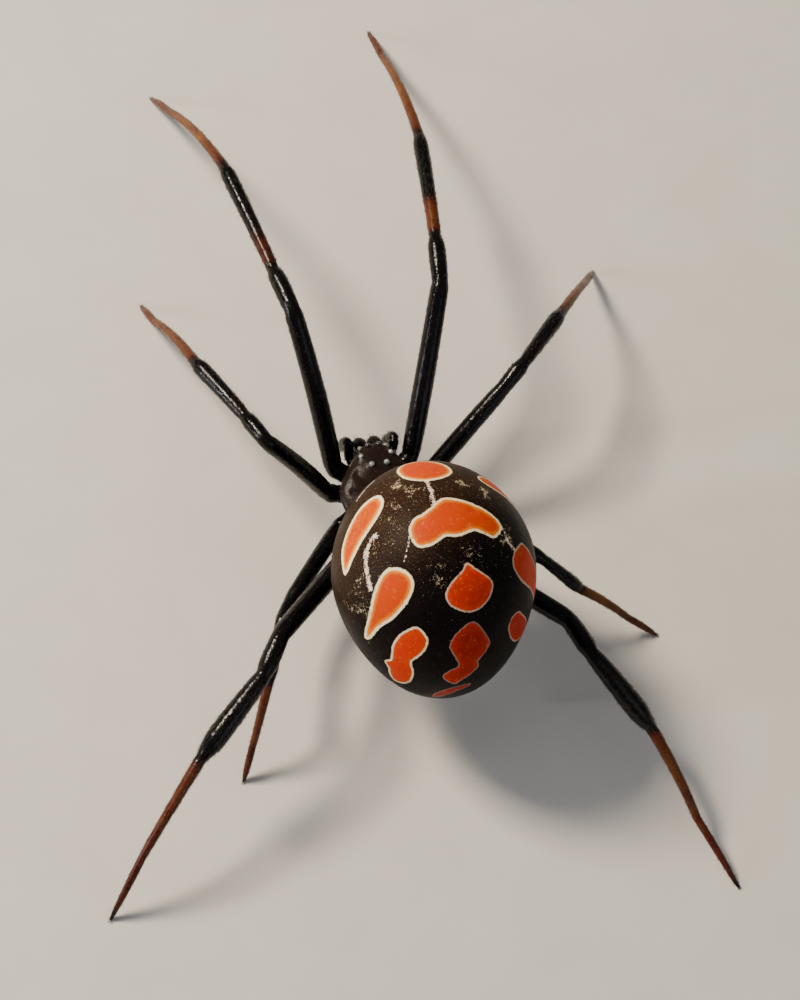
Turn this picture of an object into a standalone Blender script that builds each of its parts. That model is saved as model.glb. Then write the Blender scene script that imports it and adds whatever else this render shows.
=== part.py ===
"""A female Mediterranean black widow spider at life size, standing still.

The spider faces -Y and its left side is +X. Lengths are in metres, and the
floor that the eight feet stand on is z = 0. The model is moved at the end so
that the origin is the middle of its bounding box, on the floor.
"""

import math
from typing import NamedTuple

import bmesh
import bpy
from mathutils import Matrix, Vector

MM = 0.001

# Neighbouring pieces stop this far from each other.
GAP = 0.25 * MM

# The front body: the middle of its rim stands this high over the floor.
PROSOMA_HEIGHT = 2.7 * MM
CARAPACE_HALF_WIDTH = 1.80 * MM
CARAPACE_HALF_LENGTH = 2.05 * MM
CARAPACE_SHIFT = 0.10 * MM
CARAPACE_DOME = 0.95 * MM
CARAPACE_UNDERSIDE = 0.10 * MM
CARAPACE_RIM_HEIGHT = 0.22 * MM
STERNUM_HALF_WIDTH = 0.74 * MM
STERNUM_HALF_LENGTH = 1.50 * MM
STERNUM_TOP = 0.12 * MM
STERNUM_BOTTOM = 1.02 * MM

# The abdomen: a tilted globe, blunt in front and drawn in towards the spinnerets.
# The waist bends it a little to the spider's right.
ABDOMEN_CENTRE = Vector((-0.30, 5.19, 6.56)) * MM
ABDOMEN_HALF_WIDTH = 4.15 * MM
ABDOMEN_HALF_LENGTH = 4.75 * MM
ABDOMEN_HALF_HEIGHT = 4.10 * MM
ABDOMEN_TILT = math.radians(12)
ABDOMEN_REAR_NARROWING = 0.10
ABDOMEN_REAR_DROP = 0.45 * MM

# The spinnerets sit low on the rear end, this far below the abdomen's own axis.
SPINNERET_ANGLE = math.radians(38)
SPINNERET_LENGTH = 0.60 * MM
SPINNERET_MOUND = 0.58 * MM
SPINNERET_ROOT = 0.26 * MM
SPINNERET_TIP = 0.12 * MM

# The eyes of one side, as shares of the head's width and height: the inner and outer
# eye of the front row, then of the rear row.
EYES = ((0.17, 0.36), (0.42, 0.20), (0.22, 0.80), (0.45, 0.52))
EYE_RADIUS = 0.11 * MM

CHELICERA_SPREAD = 0.36 * MM
CHELICERA_LENGTH = 1.35 * MM
CHELICERA_WIDTH = 0.54 * MM
PALP_WIDTH = 0.44 * MM
PEDICEL_WIDTH = 0.55 * MM

SEGMENTS = ("femur", "patella", "tibia", "metatarsus", "tarsus")

# Radius along each segment: (share of the length, share of the half-width).
STATIONS = {
    "coxa": ((0.0, 0.62), (0.10, 0.86), (0.40, 1.0), (0.62, 0.92), (0.72, 0.80),
             (0.84, 0.92), (1.0, 0.62)),
    "femur": ((0.0, 0.50), (0.05, 0.72), (0.18, 0.92), (0.40, 1.0), (0.70, 0.92),
              (0.88, 0.82), (0.96, 0.78), (1.0, 0.55)),
    "patella": ((0.0, 0.52), (0.12, 0.78), (0.45, 0.98), (0.75, 1.0), (0.93, 0.80),
                (1.0, 0.55)),
    "tibia": ((0.0, 0.50), (0.05, 0.70), (0.20, 0.86), (0.50, 0.96), (0.74, 1.0),
              (0.90, 0.82), (0.97, 0.72), (1.0, 0.55)),
    "metatarsus": ((0.0, 0.66), (0.05, 0.94), (0.25, 1.0), (0.60, 0.96), (0.95, 0.92),
                   (1.0, 0.70)),
    "tarsus": ((0.0, 0.70), (0.08, 0.96), (0.40, 0.94), (0.72, 0.74), (1.0, 0.46)),
}

# How far the middle of a segment is bowed up, as a share of its length.
BOW = {"femur": 0.03, "patella": 0.02, "tibia": 0.015, "metatarsus": 0.05, "tarsus": 0.02}


class LegSize(NamedTuple):
    """The sizes that the left and right leg of one pair share, in millimetres.

    root and socket are the inner end of the coxa and the place where the femur
    starts, each as (out from the middle, forward, up) from the prosoma's centre.
    """

    root: tuple
    socket: tuple
    lengths: tuple
    widths: tuple
    coxa_width: float


class LegPose(NamedTuple):
    """How one leg stands, in degrees.

    The headings of the five segments turn outwards from straight ahead. The rises
    of femur, patella, tibia and metatarsus are above level. The tarsus comes down
    to the floor from wherever they end.
    """

    headings: tuple
    rises: tuple


LEG_SIZES = {
    1: LegSize((0.98, 1.09, -0.44), (1.65, 1.53, -0.28),
               (7.35, 2.05, 5.29, 6.76, 2.32), (0.84, 0.74, 0.62, 0.50, 0.46), 0.66),
    2: LegSize((1.09, 0.36, -0.47), (2.08, 0.56, -0.47),
               (4.93, 1.52, 3.33, 4.79, 1.85), (0.76, 0.68, 0.66, 0.50, 0.46), 0.62),
    3: LegSize((1.06, -0.46, -0.47), (1.92, -0.93, -0.61),
               (4.18, 1.40, 2.49, 2.95, 1.73), (0.70, 0.62, 0.56, 0.50, 0.46), 0.60),
    4: LegSize((0.88, -1.20, -0.45), (1.53, -2.03, -0.51),
               (6.94, 1.83, 4.17, 4.23, 3.39), (0.86, 0.77, 0.84, 0.52, 0.46), 0.66),
}

LEG_POSES = {
    ("left", 1): LegPose((16, 9, 9, 8, 8), (43, -9, -9, -42)),
    ("left", 2): LegPose((67, 21, 24, 10, 4), (49, -16, -15, -44)),
    ("left", 3): LegPose((137, 146, 156, 159, 159), (9, 9, 9, -44)),
    ("left", 4): LegPose((132, 146, 132, 138, 142), (28, -7, -15, -25)),
    ("right", 1): LegPose((18, 7, 8, 4, 2), (30, 2, -12, -33)),
    ("right", 2): LegPose((54, 51, 46, 45, 44), (32, 20, -15, -41)),
    ("right", 3): LegPose((132, 129, 120, 116, 117), (29, -6, -38, -32)),
    ("right", 4): LegPose((136, 167, 144, 158, 155), (13, 17, -23, -22)),
}

# The tarsus runs this far through the floor before it is cut flat at z = 0.
FLOOR_OVERRUN = 0.45 * MM

# Colour, roughness and metallic value of each surface.
FINISHES = {
    "black_cuticle": ((0.010, 0.009, 0.010), 0.22, 0.0),
    "abdomen_cuticle": ((0.016, 0.011, 0.010), 0.30, 0.0),
    "brown_cuticle": ((0.200, 0.045, 0.018), 0.35, 0.0),
    "dark_cuticle": ((0.045, 0.014, 0.009), 0.30, 0.0),
}


def clear_scene():
    """Remove every object that the scene starts with."""
    for obj in list(bpy.data.objects):
        bpy.data.objects.remove(obj, do_unlink=True)


def make_collection(name):
    """Return a new collection that is linked to the scene."""
    collection = bpy.data.collections.new(name)
    bpy.context.scene.collection.children.link(collection)
    return collection


def make_finish(name):
    """Return the Principled material of that name from FINISHES."""
    colour, roughness, metallic = FINISHES[name]
    material = bpy.data.materials.new(name)
    material.use_nodes = True
    shader = material.node_tree.nodes["Principled BSDF"]
    shader.inputs["Base Color"].default_value = (*colour, 1.0)
    shader.inputs["Roughness"].default_value = roughness
    shader.inputs["Metallic"].default_value = metallic
    return material


def smoothstep(low, high, value):
    """Rise smoothly from 0 at low to 1 at high."""
    share = min(max((value - low) / (high - low), 0.0), 1.0)
    return share * share * (3.0 - 2.0 * share)


def sphere_mesh(name, segments, rings):
    """Return a unit sphere's mesh with its poles on the Y axis."""
    body = bmesh.new()
    bmesh.ops.create_uvsphere(
        body, u_segments=segments, v_segments=rings, radius=1.0,
        matrix=Matrix.Rotation(math.radians(90), 4, "X"))
    mesh = bpy.data.meshes.new(name)
    body.to_mesh(mesh)
    body.free()
    return mesh


def shaped_sphere(name, segments, rings, shape):
    """Return an object whose sphere has each point moved by the function shape."""
    mesh = sphere_mesh(name, segments, rings)
    for vertex in mesh.vertices:
        vertex.co = shape(vertex.co.copy())
    mesh.shade_smooth()
    return bpy.data.objects.new(name, mesh)


def tube_curve(name, points, radii, sides=10):
    """Return a curve object through the points, with a radius at each of them."""
    curve = bpy.data.curves.new(name, "CURVE")
    curve.dimensions = "3D"
    curve.bevel_depth = 1.0
    curve.bevel_resolution = (sides - 4) // 2
    curve.use_fill_caps = True
    spline = curve.splines.new("POLY")
    spline.points.add(len(points) - 1)
    for spline_point, place, radius in zip(spline.points, points, radii):
        spline_point.co = (*place, 1.0)
        spline_point.radius = radius
    return bpy.data.objects.new(name, curve)


def as_mesh(obj, collection):
    """Swap a curve object for a mesh object of the same name, with its caps welded."""
    collection.objects.link(obj)
    graph = bpy.context.evaluated_depsgraph_get()
    mesh = bpy.data.meshes.new_from_object(obj.evaluated_get(graph))
    body = bmesh.new()
    body.from_mesh(mesh)
    bmesh.ops.remove_doubles(body, verts=body.verts, dist=1e-6)
    bmesh.ops.recalc_face_normals(body, faces=body.faces)
    body.to_mesh(mesh)
    body.free()
    name = obj.name
    matrix = obj.matrix_world.copy()
    bpy.data.objects.remove(obj, do_unlink=True)
    solid = bpy.data.objects.new(name, mesh)
    solid.matrix_world = matrix
    return solid


def cut_at_floor(obj):
    """Cut a mesh object off at z = 0 and close the cut with one flat face."""
    body = bmesh.new()
    body.from_mesh(obj.data)
    geometry = list(body.verts) + list(body.edges) + list(body.faces)
    bmesh.ops.bisect_plane(body, geom=geometry, dist=1e-7, plane_co=(0, 0, 0),
                           plane_no=(0, 0, -1), clear_outer=True)
    rim = [edge for edge in body.edges if edge.is_boundary]
    bmesh.ops.contextual_create(body, geom=rim)
    bmesh.ops.recalc_face_normals(body, faces=body.faces)
    body.to_mesh(obj.data)
    body.free()


def fuse(base, extras, collection):
    """Join the extra mesh objects to the base with one union, applied at once.

    Only the largest closed surface of the result is kept.
    """
    group = bpy.data.collections.new(base.name + "_extras")
    bpy.context.scene.collection.children.link(group)
    for extra in extras:
        group.objects.link(extra)
    collection.objects.link(base)
    union = base.modifiers.new("Union", "BOOLEAN")
    union.operation = "UNION"
    union.operand_type = "COLLECTION"
    union.collection = group
    graph = bpy.context.evaluated_depsgraph_get()
    mesh = bpy.data.meshes.new_from_object(base.evaluated_get(graph))
    base.modifiers.remove(union)
    collection.objects.unlink(base)
    for extra in extras:
        bpy.data.objects.remove(extra, do_unlink=True)
    bpy.data.collections.remove(group)
    keep_largest_surface(mesh)
    base.data = mesh
    mesh.shade_smooth()
    return base


def keep_largest_surface(mesh):
    """Delete every closed surface of the mesh but the one with the most faces."""
    body = bmesh.new()
    body.from_mesh(mesh)
    unseen = set(body.faces)
    surfaces = []
    while unseen:
        front = [unseen.pop()]
        surface = list(front)
        while front:
            face = front.pop()
            linked = {other for edge in face.edges for other in edge.link_faces}
            fresh = linked & unseen
            unseen -= fresh
            front.extend(fresh)
            surface.extend(fresh)
        surfaces.append(surface)
    surfaces.sort(key=len)
    for surface in surfaces[:-1]:
        bmesh.ops.delete(body, geom=surface, context="FACES")
    body.to_mesh(mesh)
    body.free()


def carapace_point(unit):
    """Map a point of the unit sphere to the carapace.

    The head is narrow and raised, the chest behind it is broad, and a shallow
    pit lies in the middle of the chest.
    """
    forward = -unit.y
    head = smoothstep(-0.05, 0.75, forward)
    width = CARAPACE_HALF_WIDTH * (1.0 - 0.36 * head)
    squareness = 1.0 + 0.18 * head * (1.0 - unit.z * unit.z)
    across = unit.x * width * squareness
    along = unit.y * CARAPACE_HALF_LENGTH - CARAPACE_SHIFT
    if unit.z < 0.0:
        height = CARAPACE_RIM_HEIGHT + unit.z * (CARAPACE_RIM_HEIGHT - CARAPACE_UNDERSIDE)
    else:
        dome = CARAPACE_DOME * (0.86 + 0.14 * head) - CARAPACE_RIM_HEIGHT
        pit = 0.16 * MM * math.exp(-((unit.x / 0.30) ** 2 + ((unit.y - 0.28) / 0.30) ** 2))
        height = CARAPACE_RIM_HEIGHT + dome * unit.z ** 0.9 - pit
    return Vector((across, along, PROSOMA_HEIGHT + height))


def make_carapace(collection):
    """Return the carapace with its eight eyes fused on as small domes."""
    shell = shaped_sphere("carapace", 28, 16, carapace_point)
    eyes = []
    for order, (across, height) in enumerate(EYES):
        forward = math.sqrt(max(1.0 - across ** 2 - height ** 2, 0.0))
        for side in (-1, 1):
            place = carapace_point(Vector((side * across, -forward, height)))
            mesh = sphere_mesh("eye", 8, 6)
            mesh.transform(Matrix.Translation(place) @ Matrix.Scale(EYE_RADIUS, 4))
            eyes.append(bpy.data.objects.new(f"eye_{order}_{side}", mesh))
    return fuse(shell, eyes, collection)


def sternum_point(unit):
    """Map a point of the unit sphere to the shield under the front body."""
    taper = 1.0 - 0.38 * smoothstep(-0.2, 1.0, unit.y)
    across = unit.x * STERNUM_HALF_WIDTH * taper
    along = unit.y * STERNUM_HALF_LENGTH - 0.10 * MM
    middle = -(STERNUM_TOP + STERNUM_BOTTOM) / 2
    half_height = (STERNUM_BOTTOM - STERNUM_TOP) / 2
    return Vector((across, along, PROSOMA_HEIGHT + middle + unit.z * half_height))


def abdomen_matrix():
    """Return the turn and place of the abdomen's own frame."""
    return Matrix.Translation(ABDOMEN_CENTRE) @ Matrix.Rotation(-ABDOMEN_TILT, 4, "X")


def abdomen_point(unit):
    """Map a point of the unit sphere to the abdomen, rear end towards +Y."""
    rear = smoothstep(-0.3, 1.0, unit.y)
    narrowing = 1.0 - ABDOMEN_REAR_NARROWING * rear
    local = Vector((
        unit.x * ABDOMEN_HALF_WIDTH * narrowing,
        unit.y * ABDOMEN_HALF_LENGTH,
        unit.z * ABDOMEN_HALF_HEIGHT * narrowing - ABDOMEN_REAR_DROP * rear * rear,
    ))
    return abdomen_matrix() @ local


def abdomen_normal(unit):
    """Return the outward normal of the abdomen at a point of the unit sphere."""
    step = 0.02
    first = unit.orthogonal().normalized()
    second = unit.cross(first)
    slopes = [abdomen_point((unit + side * step).normalized())
              - abdomen_point((unit - side * step).normalized())
              for side in (first, second)]
    return slopes[0].cross(slopes[1]).normalized()


def make_spinnerets(collection):
    """Return the spinnerets: a low mound that carries two pairs of cones."""
    unit = Vector((0.0, math.cos(SPINNERET_ANGLE), -math.sin(SPINNERET_ANGLE)))
    outward = abdomen_normal(unit)
    sideways = Vector((1.0, 0.0, 0.0))
    along = outward.cross(sideways)
    start = abdomen_point(unit) + outward * GAP
    mound_rise = SPINNERET_LENGTH * 0.35
    mound = tube_curve(
        "spinnerets", [start, start + outward * mound_rise * 0.4, start + outward * mound_rise],
        [SPINNERET_MOUND, SPINNERET_MOUND, SPINNERET_MOUND * 0.8], sides=12)
    cones = []
    for across, back in ((-1, -1), (1, -1), (-1, 1), (1, 1)):
        lean = sideways * across * 0.9 + along * back * 0.8
        foot = start + outward * mound_rise * 0.5 + lean * SPINNERET_ROOT * 0.8
        tip = foot + (outward + lean * 0.12).normalized() * SPINNERET_LENGTH
        cone = tube_curve(f"spinneret_{across}_{back}", [foot, foot.lerp(tip, 0.6), tip],
                          [SPINNERET_ROOT, SPINNERET_ROOT * 0.85, SPINNERET_TIP],
                          sides=8)
        cones.append(as_mesh(cone, collection))
    return fuse(as_mesh(mound, collection), cones, collection)


def make_pedicel():
    """Return the narrow waist between the carapace and the abdomen."""
    front = Vector((-0.02, 2.34, 2.69)) * MM
    rear_unit = Vector((0.0, -0.38, -0.925))
    rear = abdomen_point(rear_unit)
    direction = (rear - front).normalized()
    rear = rear - direction * GAP * 1.3
    radius = PEDICEL_WIDTH / 2
    places = [front.lerp(rear, share) for share in (0.0, 0.3, 0.7, 1.0)]
    return tube_curve("pedicel", places, [radius * 0.9, radius, radius, radius * 0.9])


def make_chelicera(side_name, side):
    """Return one jaw, which narrows into its fang at the lower end."""
    top = Vector((side * CHELICERA_SPREAD, -2.15 * MM, PROSOMA_HEIGHT - 0.22 * MM))
    down = Vector((0.0, -0.22, -1.0)).normalized()
    shares = (0.0, 0.10, 0.35, 0.65, 0.80, 0.90, 1.0)
    widths = (0.70, 0.95, 1.0, 0.86, 0.60, 0.34, 0.16)
    places = [top + down * CHELICERA_LENGTH * share for share in shares]
    for place, share in zip(places, shares):
        place.y += 0.30 * MM * smoothstep(0.7, 1.0, share)
    radii = [CHELICERA_WIDTH / 2 * width for width in widths]
    return tube_curve(f"chelicera_{side_name}", places, radii)


def make_palp(side_name, side):
    """Return one feeler, folded down at its knee beside the jaws."""
    route = ((0.97, 1.98, -0.46), (1.00, 2.20, -0.26), (1.04, 2.44, -0.18),
             (1.05, 2.64, -0.30), (1.04, 2.76, -0.60), (1.00, 2.84, -1.00),
             (0.95, 2.84, -1.40), (0.92, 2.80, -1.66))
    widths = (0.80, 0.96, 1.0, 1.0, 0.96, 0.92, 0.72, 0.38)
    places = [Vector((side * out, -forward, PROSOMA_HEIGHT / MM + up)) * MM
              for out, forward, up in route]
    radii = [PALP_WIDTH / 2 * width for width in widths]
    return tube_curve(f"palp_{side_name}", places, radii)


def body_place(side, offset):
    """Turn (out, forward, up) from the prosoma's centre into a world place."""
    out, forward, up = offset
    return Vector((side * out * MM, -forward * MM, PROSOMA_HEIGHT + up * MM))


def leg_direction(side, heading, rise):
    """Return the unit direction with that heading and rise, in radians."""
    level = math.cos(rise)
    return Vector((side * math.sin(heading) * level, -math.cos(heading) * level,
                   math.sin(rise)))


def leg_joints(side_name, pair):
    """Return the places where the femur starts and where each segment ends."""
    side = 1 if side_name == "left" else -1
    size = LEG_SIZES[pair]
    pose = LEG_POSES[side_name, pair]
    joints = [body_place(side, size.socket)]
    for order, length in enumerate(size.lengths):
        heading = math.radians(pose.headings[order])
        if order < len(pose.rises):
            rise = math.radians(pose.rises[order])
        else:
            rise = -math.asin(joints[-1].z / (length * MM))
        joints.append(joints[-1] + leg_direction(side, heading, rise) * length * MM)
    return joints


def bend_trim(before, joint, after, radius):
    """Return how far a segment stops short of a joint so that its end clears the next."""
    bend = (joint - before).angle(after - joint, 0.0)
    return GAP / 2 + radius * math.tan(bend / 2)


def segment_tube(name, kind, start, end, width, trims, sides):
    """Return one bowed, swelling leg segment between two joints."""
    span = end - start
    length = span.length
    direction = span / length
    lift = Vector((0.0, 0.0, 1.0)) - direction * direction.z
    lift = lift.normalized() * BOW.get(kind, 0.0) * length
    first = trims[0] / length
    last = 1.0 - trims[1] / length
    places = []
    radii = []
    for share, thickness in STATIONS[kind]:
        along = first + (last - first) * share
        places.append(start + span * along + lift * 4.0 * along * (1.0 - along))
        radii.append(width / 2 * thickness)
    return tube_curve(name, places, radii, sides)


def make_leg(side_name, pair, finishes, collection):
    """Return the six pieces of one leg, coxa to tarsus."""
    side = 1 if side_name == "left" else -1
    size = LEG_SIZES[pair]
    root = body_place(side, size.root)
    joints = leg_joints(side_name, pair)
    route = [root] + joints
    stem = f"leg_{side_name}_{pair}"
    kinds = ("coxa",) + SEGMENTS
    widths = (size.coxa_width,) + size.widths
    pieces = []
    for order, kind in enumerate(kinds):
        start, end = route[order], route[order + 1]
        half_width = widths[order] * MM / 2
        first_radius = half_width * STATIONS[kind][0][1]
        last_radius = half_width * STATIONS[kind][-1][1]
        first_trim = 0.0
        last_trim = -FLOOR_OVERRUN
        if order > 0:
            first_trim = bend_trim(route[order - 1], start, end, first_radius)
        if order < len(kinds) - 1:
            last_trim = bend_trim(start, end, route[order + 2], last_radius)
        sides = 8 if kind in ("metatarsus", "tarsus") else 10
        piece = segment_tube(f"{stem}_{kind}", kind, start, end, half_width * 2,
                             (first_trim, last_trim), sides)
        if kind == "tarsus":
            piece = as_mesh(piece, collection)
            cut_at_floor(piece)
        brown = kind in ("metatarsus", "tarsus")
        dress(piece, finishes["brown_cuticle" if brown else "black_cuticle"])
        pieces.append(piece)
    return pieces


def dress(obj, finish):
    """Give the object that one finish."""
    obj.data.materials.clear()
    obj.data.materials.append(finish)


def corners(objects):
    """Return the lowest and highest corner of the objects' evaluated meshes."""
    graph = bpy.context.evaluated_depsgraph_get()
    places = []
    for obj in objects:
        evaluated = obj.evaluated_get(graph)
        mesh = evaluated.to_mesh()
        places.extend(obj.matrix_world @ vertex.co for vertex in mesh.vertices)
        evaluated.to_mesh_clear()
    low = Vector([min(place[axis] for place in places) for axis in range(3)])
    high = Vector([max(place[axis] for place in places) for axis in range(3)])
    return low, high


def main():
    """Build the spider and stand it with its bounding box over the origin."""
    clear_scene()
    collection = make_collection("black_widow_spider")
    finishes = {name: make_finish(name) for name in FINISHES}

    pieces = [make_carapace(collection), shaped_sphere("sternum", 16, 10, sternum_point)]
    dress(pieces[0], finishes["black_cuticle"])
    dress(pieces[1], finishes["dark_cuticle"])

    abdomen = shaped_sphere("abdomen", 32, 20, abdomen_point)
    dress(abdomen, finishes["abdomen_cuticle"])
    spinnerets = make_spinnerets(collection)
    dress(spinnerets, finishes["dark_cuticle"])
    pedicel = make_pedicel()
    dress(pedicel, finishes["dark_cuticle"])
    pieces += [abdomen, spinnerets, pedicel]

    for side_name, side in (("left", 1), ("right", -1)):
        chelicera = make_chelicera(side_name, side)
        palp = make_palp(side_name, side)
        dress(chelicera, finishes["dark_cuticle"])
        dress(palp, finishes["dark_cuticle"])
        pieces += [chelicera, palp]
        for pair in LEG_SIZES:
            pieces += make_leg(side_name, pair, finishes, collection)

    stand = bpy.data.objects.new("spider_origin", None)
    collection.objects.link(stand)
    for piece in pieces:
        collection.objects.link(piece)
        piece.parent = stand
    bpy.context.view_layer.update()
    low, high = corners(pieces)
    stand.location = (-(low.x + high.x) / 2, -(low.y + high.y) / 2, 0.0)


main()
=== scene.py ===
"""A female Mediterranean black widow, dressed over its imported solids.

Lengths inside the classes are in millimetres, with the spider facing -Y, its
left side towards +X and the middle of its front body over the origin. Every
mesh is moved to the row frame and turned to metres when it is made.
"""

import logging
import math
from dataclasses import dataclass, field
from enum import Enum
from typing import Sequence

import bmesh
import bpy
import numpy as np
from mathutils import Matrix, Vector


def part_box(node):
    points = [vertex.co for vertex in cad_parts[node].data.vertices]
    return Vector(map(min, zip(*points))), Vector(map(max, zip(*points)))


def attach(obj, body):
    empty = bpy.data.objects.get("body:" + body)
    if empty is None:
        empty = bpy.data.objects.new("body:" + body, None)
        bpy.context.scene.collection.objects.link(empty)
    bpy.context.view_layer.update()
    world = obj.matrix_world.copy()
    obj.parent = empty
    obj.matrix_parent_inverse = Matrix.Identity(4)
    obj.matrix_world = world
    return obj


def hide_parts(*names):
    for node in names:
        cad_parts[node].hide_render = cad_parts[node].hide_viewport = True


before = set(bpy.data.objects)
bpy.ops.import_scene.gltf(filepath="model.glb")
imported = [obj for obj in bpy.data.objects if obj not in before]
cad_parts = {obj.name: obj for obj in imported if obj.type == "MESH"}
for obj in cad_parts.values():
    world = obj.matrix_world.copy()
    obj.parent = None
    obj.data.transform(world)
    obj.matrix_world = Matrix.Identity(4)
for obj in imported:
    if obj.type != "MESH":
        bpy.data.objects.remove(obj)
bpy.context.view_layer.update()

MM = 0.001
LOG = logging.getLogger("spider")

# The spider's own origin lies on the floor, a little behind the middle of its sternum.
STERNUM_AHEAD = 0.10 * MM
STERNUM_LOW, STERNUM_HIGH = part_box("sternum")
ORIGIN = np.array([(STERNUM_LOW[0] + STERNUM_HIGH[0]) / 2,
                   (STERNUM_LOW[1] + STERNUM_HIGH[1]) / 2 + STERNUM_AHEAD, 0.0])

Points = np.ndarray
Pairs = tuple[tuple[float, float], ...]
Stops = tuple[tuple[float, str], ...]

# Nearly all of a noise texture's values lie between these two.
NOISE_LOW = 0.3
NOISE_HIGH = 0.7


class Side(Enum):
    """The spider's own left and right, with the sign of X."""

    LEFT = 1
    RIGHT = -1

    @property
    def word(self) -> str:
        """The side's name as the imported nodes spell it."""
        return self.name.lower()


def smoothstep(low: float, high: float, value: Points) -> Points:
    """Rise smoothly from 0 to 1.

    Args:
        low: where the rise starts.
        high: where it ends.
        value: the places to judge.

    Returns:
        The risen share at each place.
    """
    share = np.clip((np.asarray(value, float) - low) / (high - low), 0.0, 1.0)
    return share * share * (3.0 - 2.0 * share)


def unit_rows(rows: Points) -> Points:
    """Scale each row vector to length 1."""
    return rows / np.maximum(np.linalg.norm(rows, axis=-1, keepdims=True), 1e-9)


def linear(code: str) -> tuple[float, float, float, float]:
    """Turn an sRGB hex code to linear light.

    Args:
        code: six hex digits after a hash.

    Returns:
        Red, green, blue and an alpha of 1.
    """
    parts = [int(code[start:start + 2], 16) / 255.0 for start in (1, 3, 5)]
    red, green, blue = (part / 12.92 if part <= 0.04045 else ((part + 0.055) / 1.055) ** 2.4
                        for part in parts)
    return red, green, blue, 1.0


def add_node(tree: bpy.types.NodeTree, kind: str, settings: dict | None = None,
             links: dict | None = None) -> bpy.types.NodeSocket | bpy.types.Node:
    """Add one node, set it and link it.

    Args:
        tree: the tree that gets the node.
        kind: the node's type.
        settings: its properties, with a ramp's places and sRGB colours as stops.
        links: its inputs by name, identifier or number, as values or sockets.

    Returns:
        Its first output that is in use, or the node where it has none.
    """
    node = tree.nodes.new(kind)
    for name, value in (settings or {}).items():
        if name != "stops":
            setattr(node, name, value)
            continue
        elements = node.color_ramp.elements
        while len(elements) < len(value):
            elements.new(1.0)
        for element, (place, code) in zip(elements, value):
            element.position = place
            element.color = linear(code)
    for key, value in (links or {}).items():
        if isinstance(key, int):
            socket = node.inputs[key]
        else:
            socket = next(item for item in node.inputs if key in (item.identifier, item.name))
        if isinstance(value, bpy.types.NodeSocket):
            tree.links.new(value, socket)
        else:
            socket.default_value = value
    shown = [item for item in node.outputs if item.enabled]
    return shown[0] if shown else node


def new_material(name: str) -> tuple[bpy.types.Material, bpy.types.NodeTree]:
    """Start a material with an empty tree.

    Args:
        name: the real material's name.

    Returns:
        The material and its tree.
    """
    material = bpy.data.materials.new(name)
    material.use_nodes = True
    material.node_tree.nodes.clear()
    return material, material.node_tree


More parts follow.
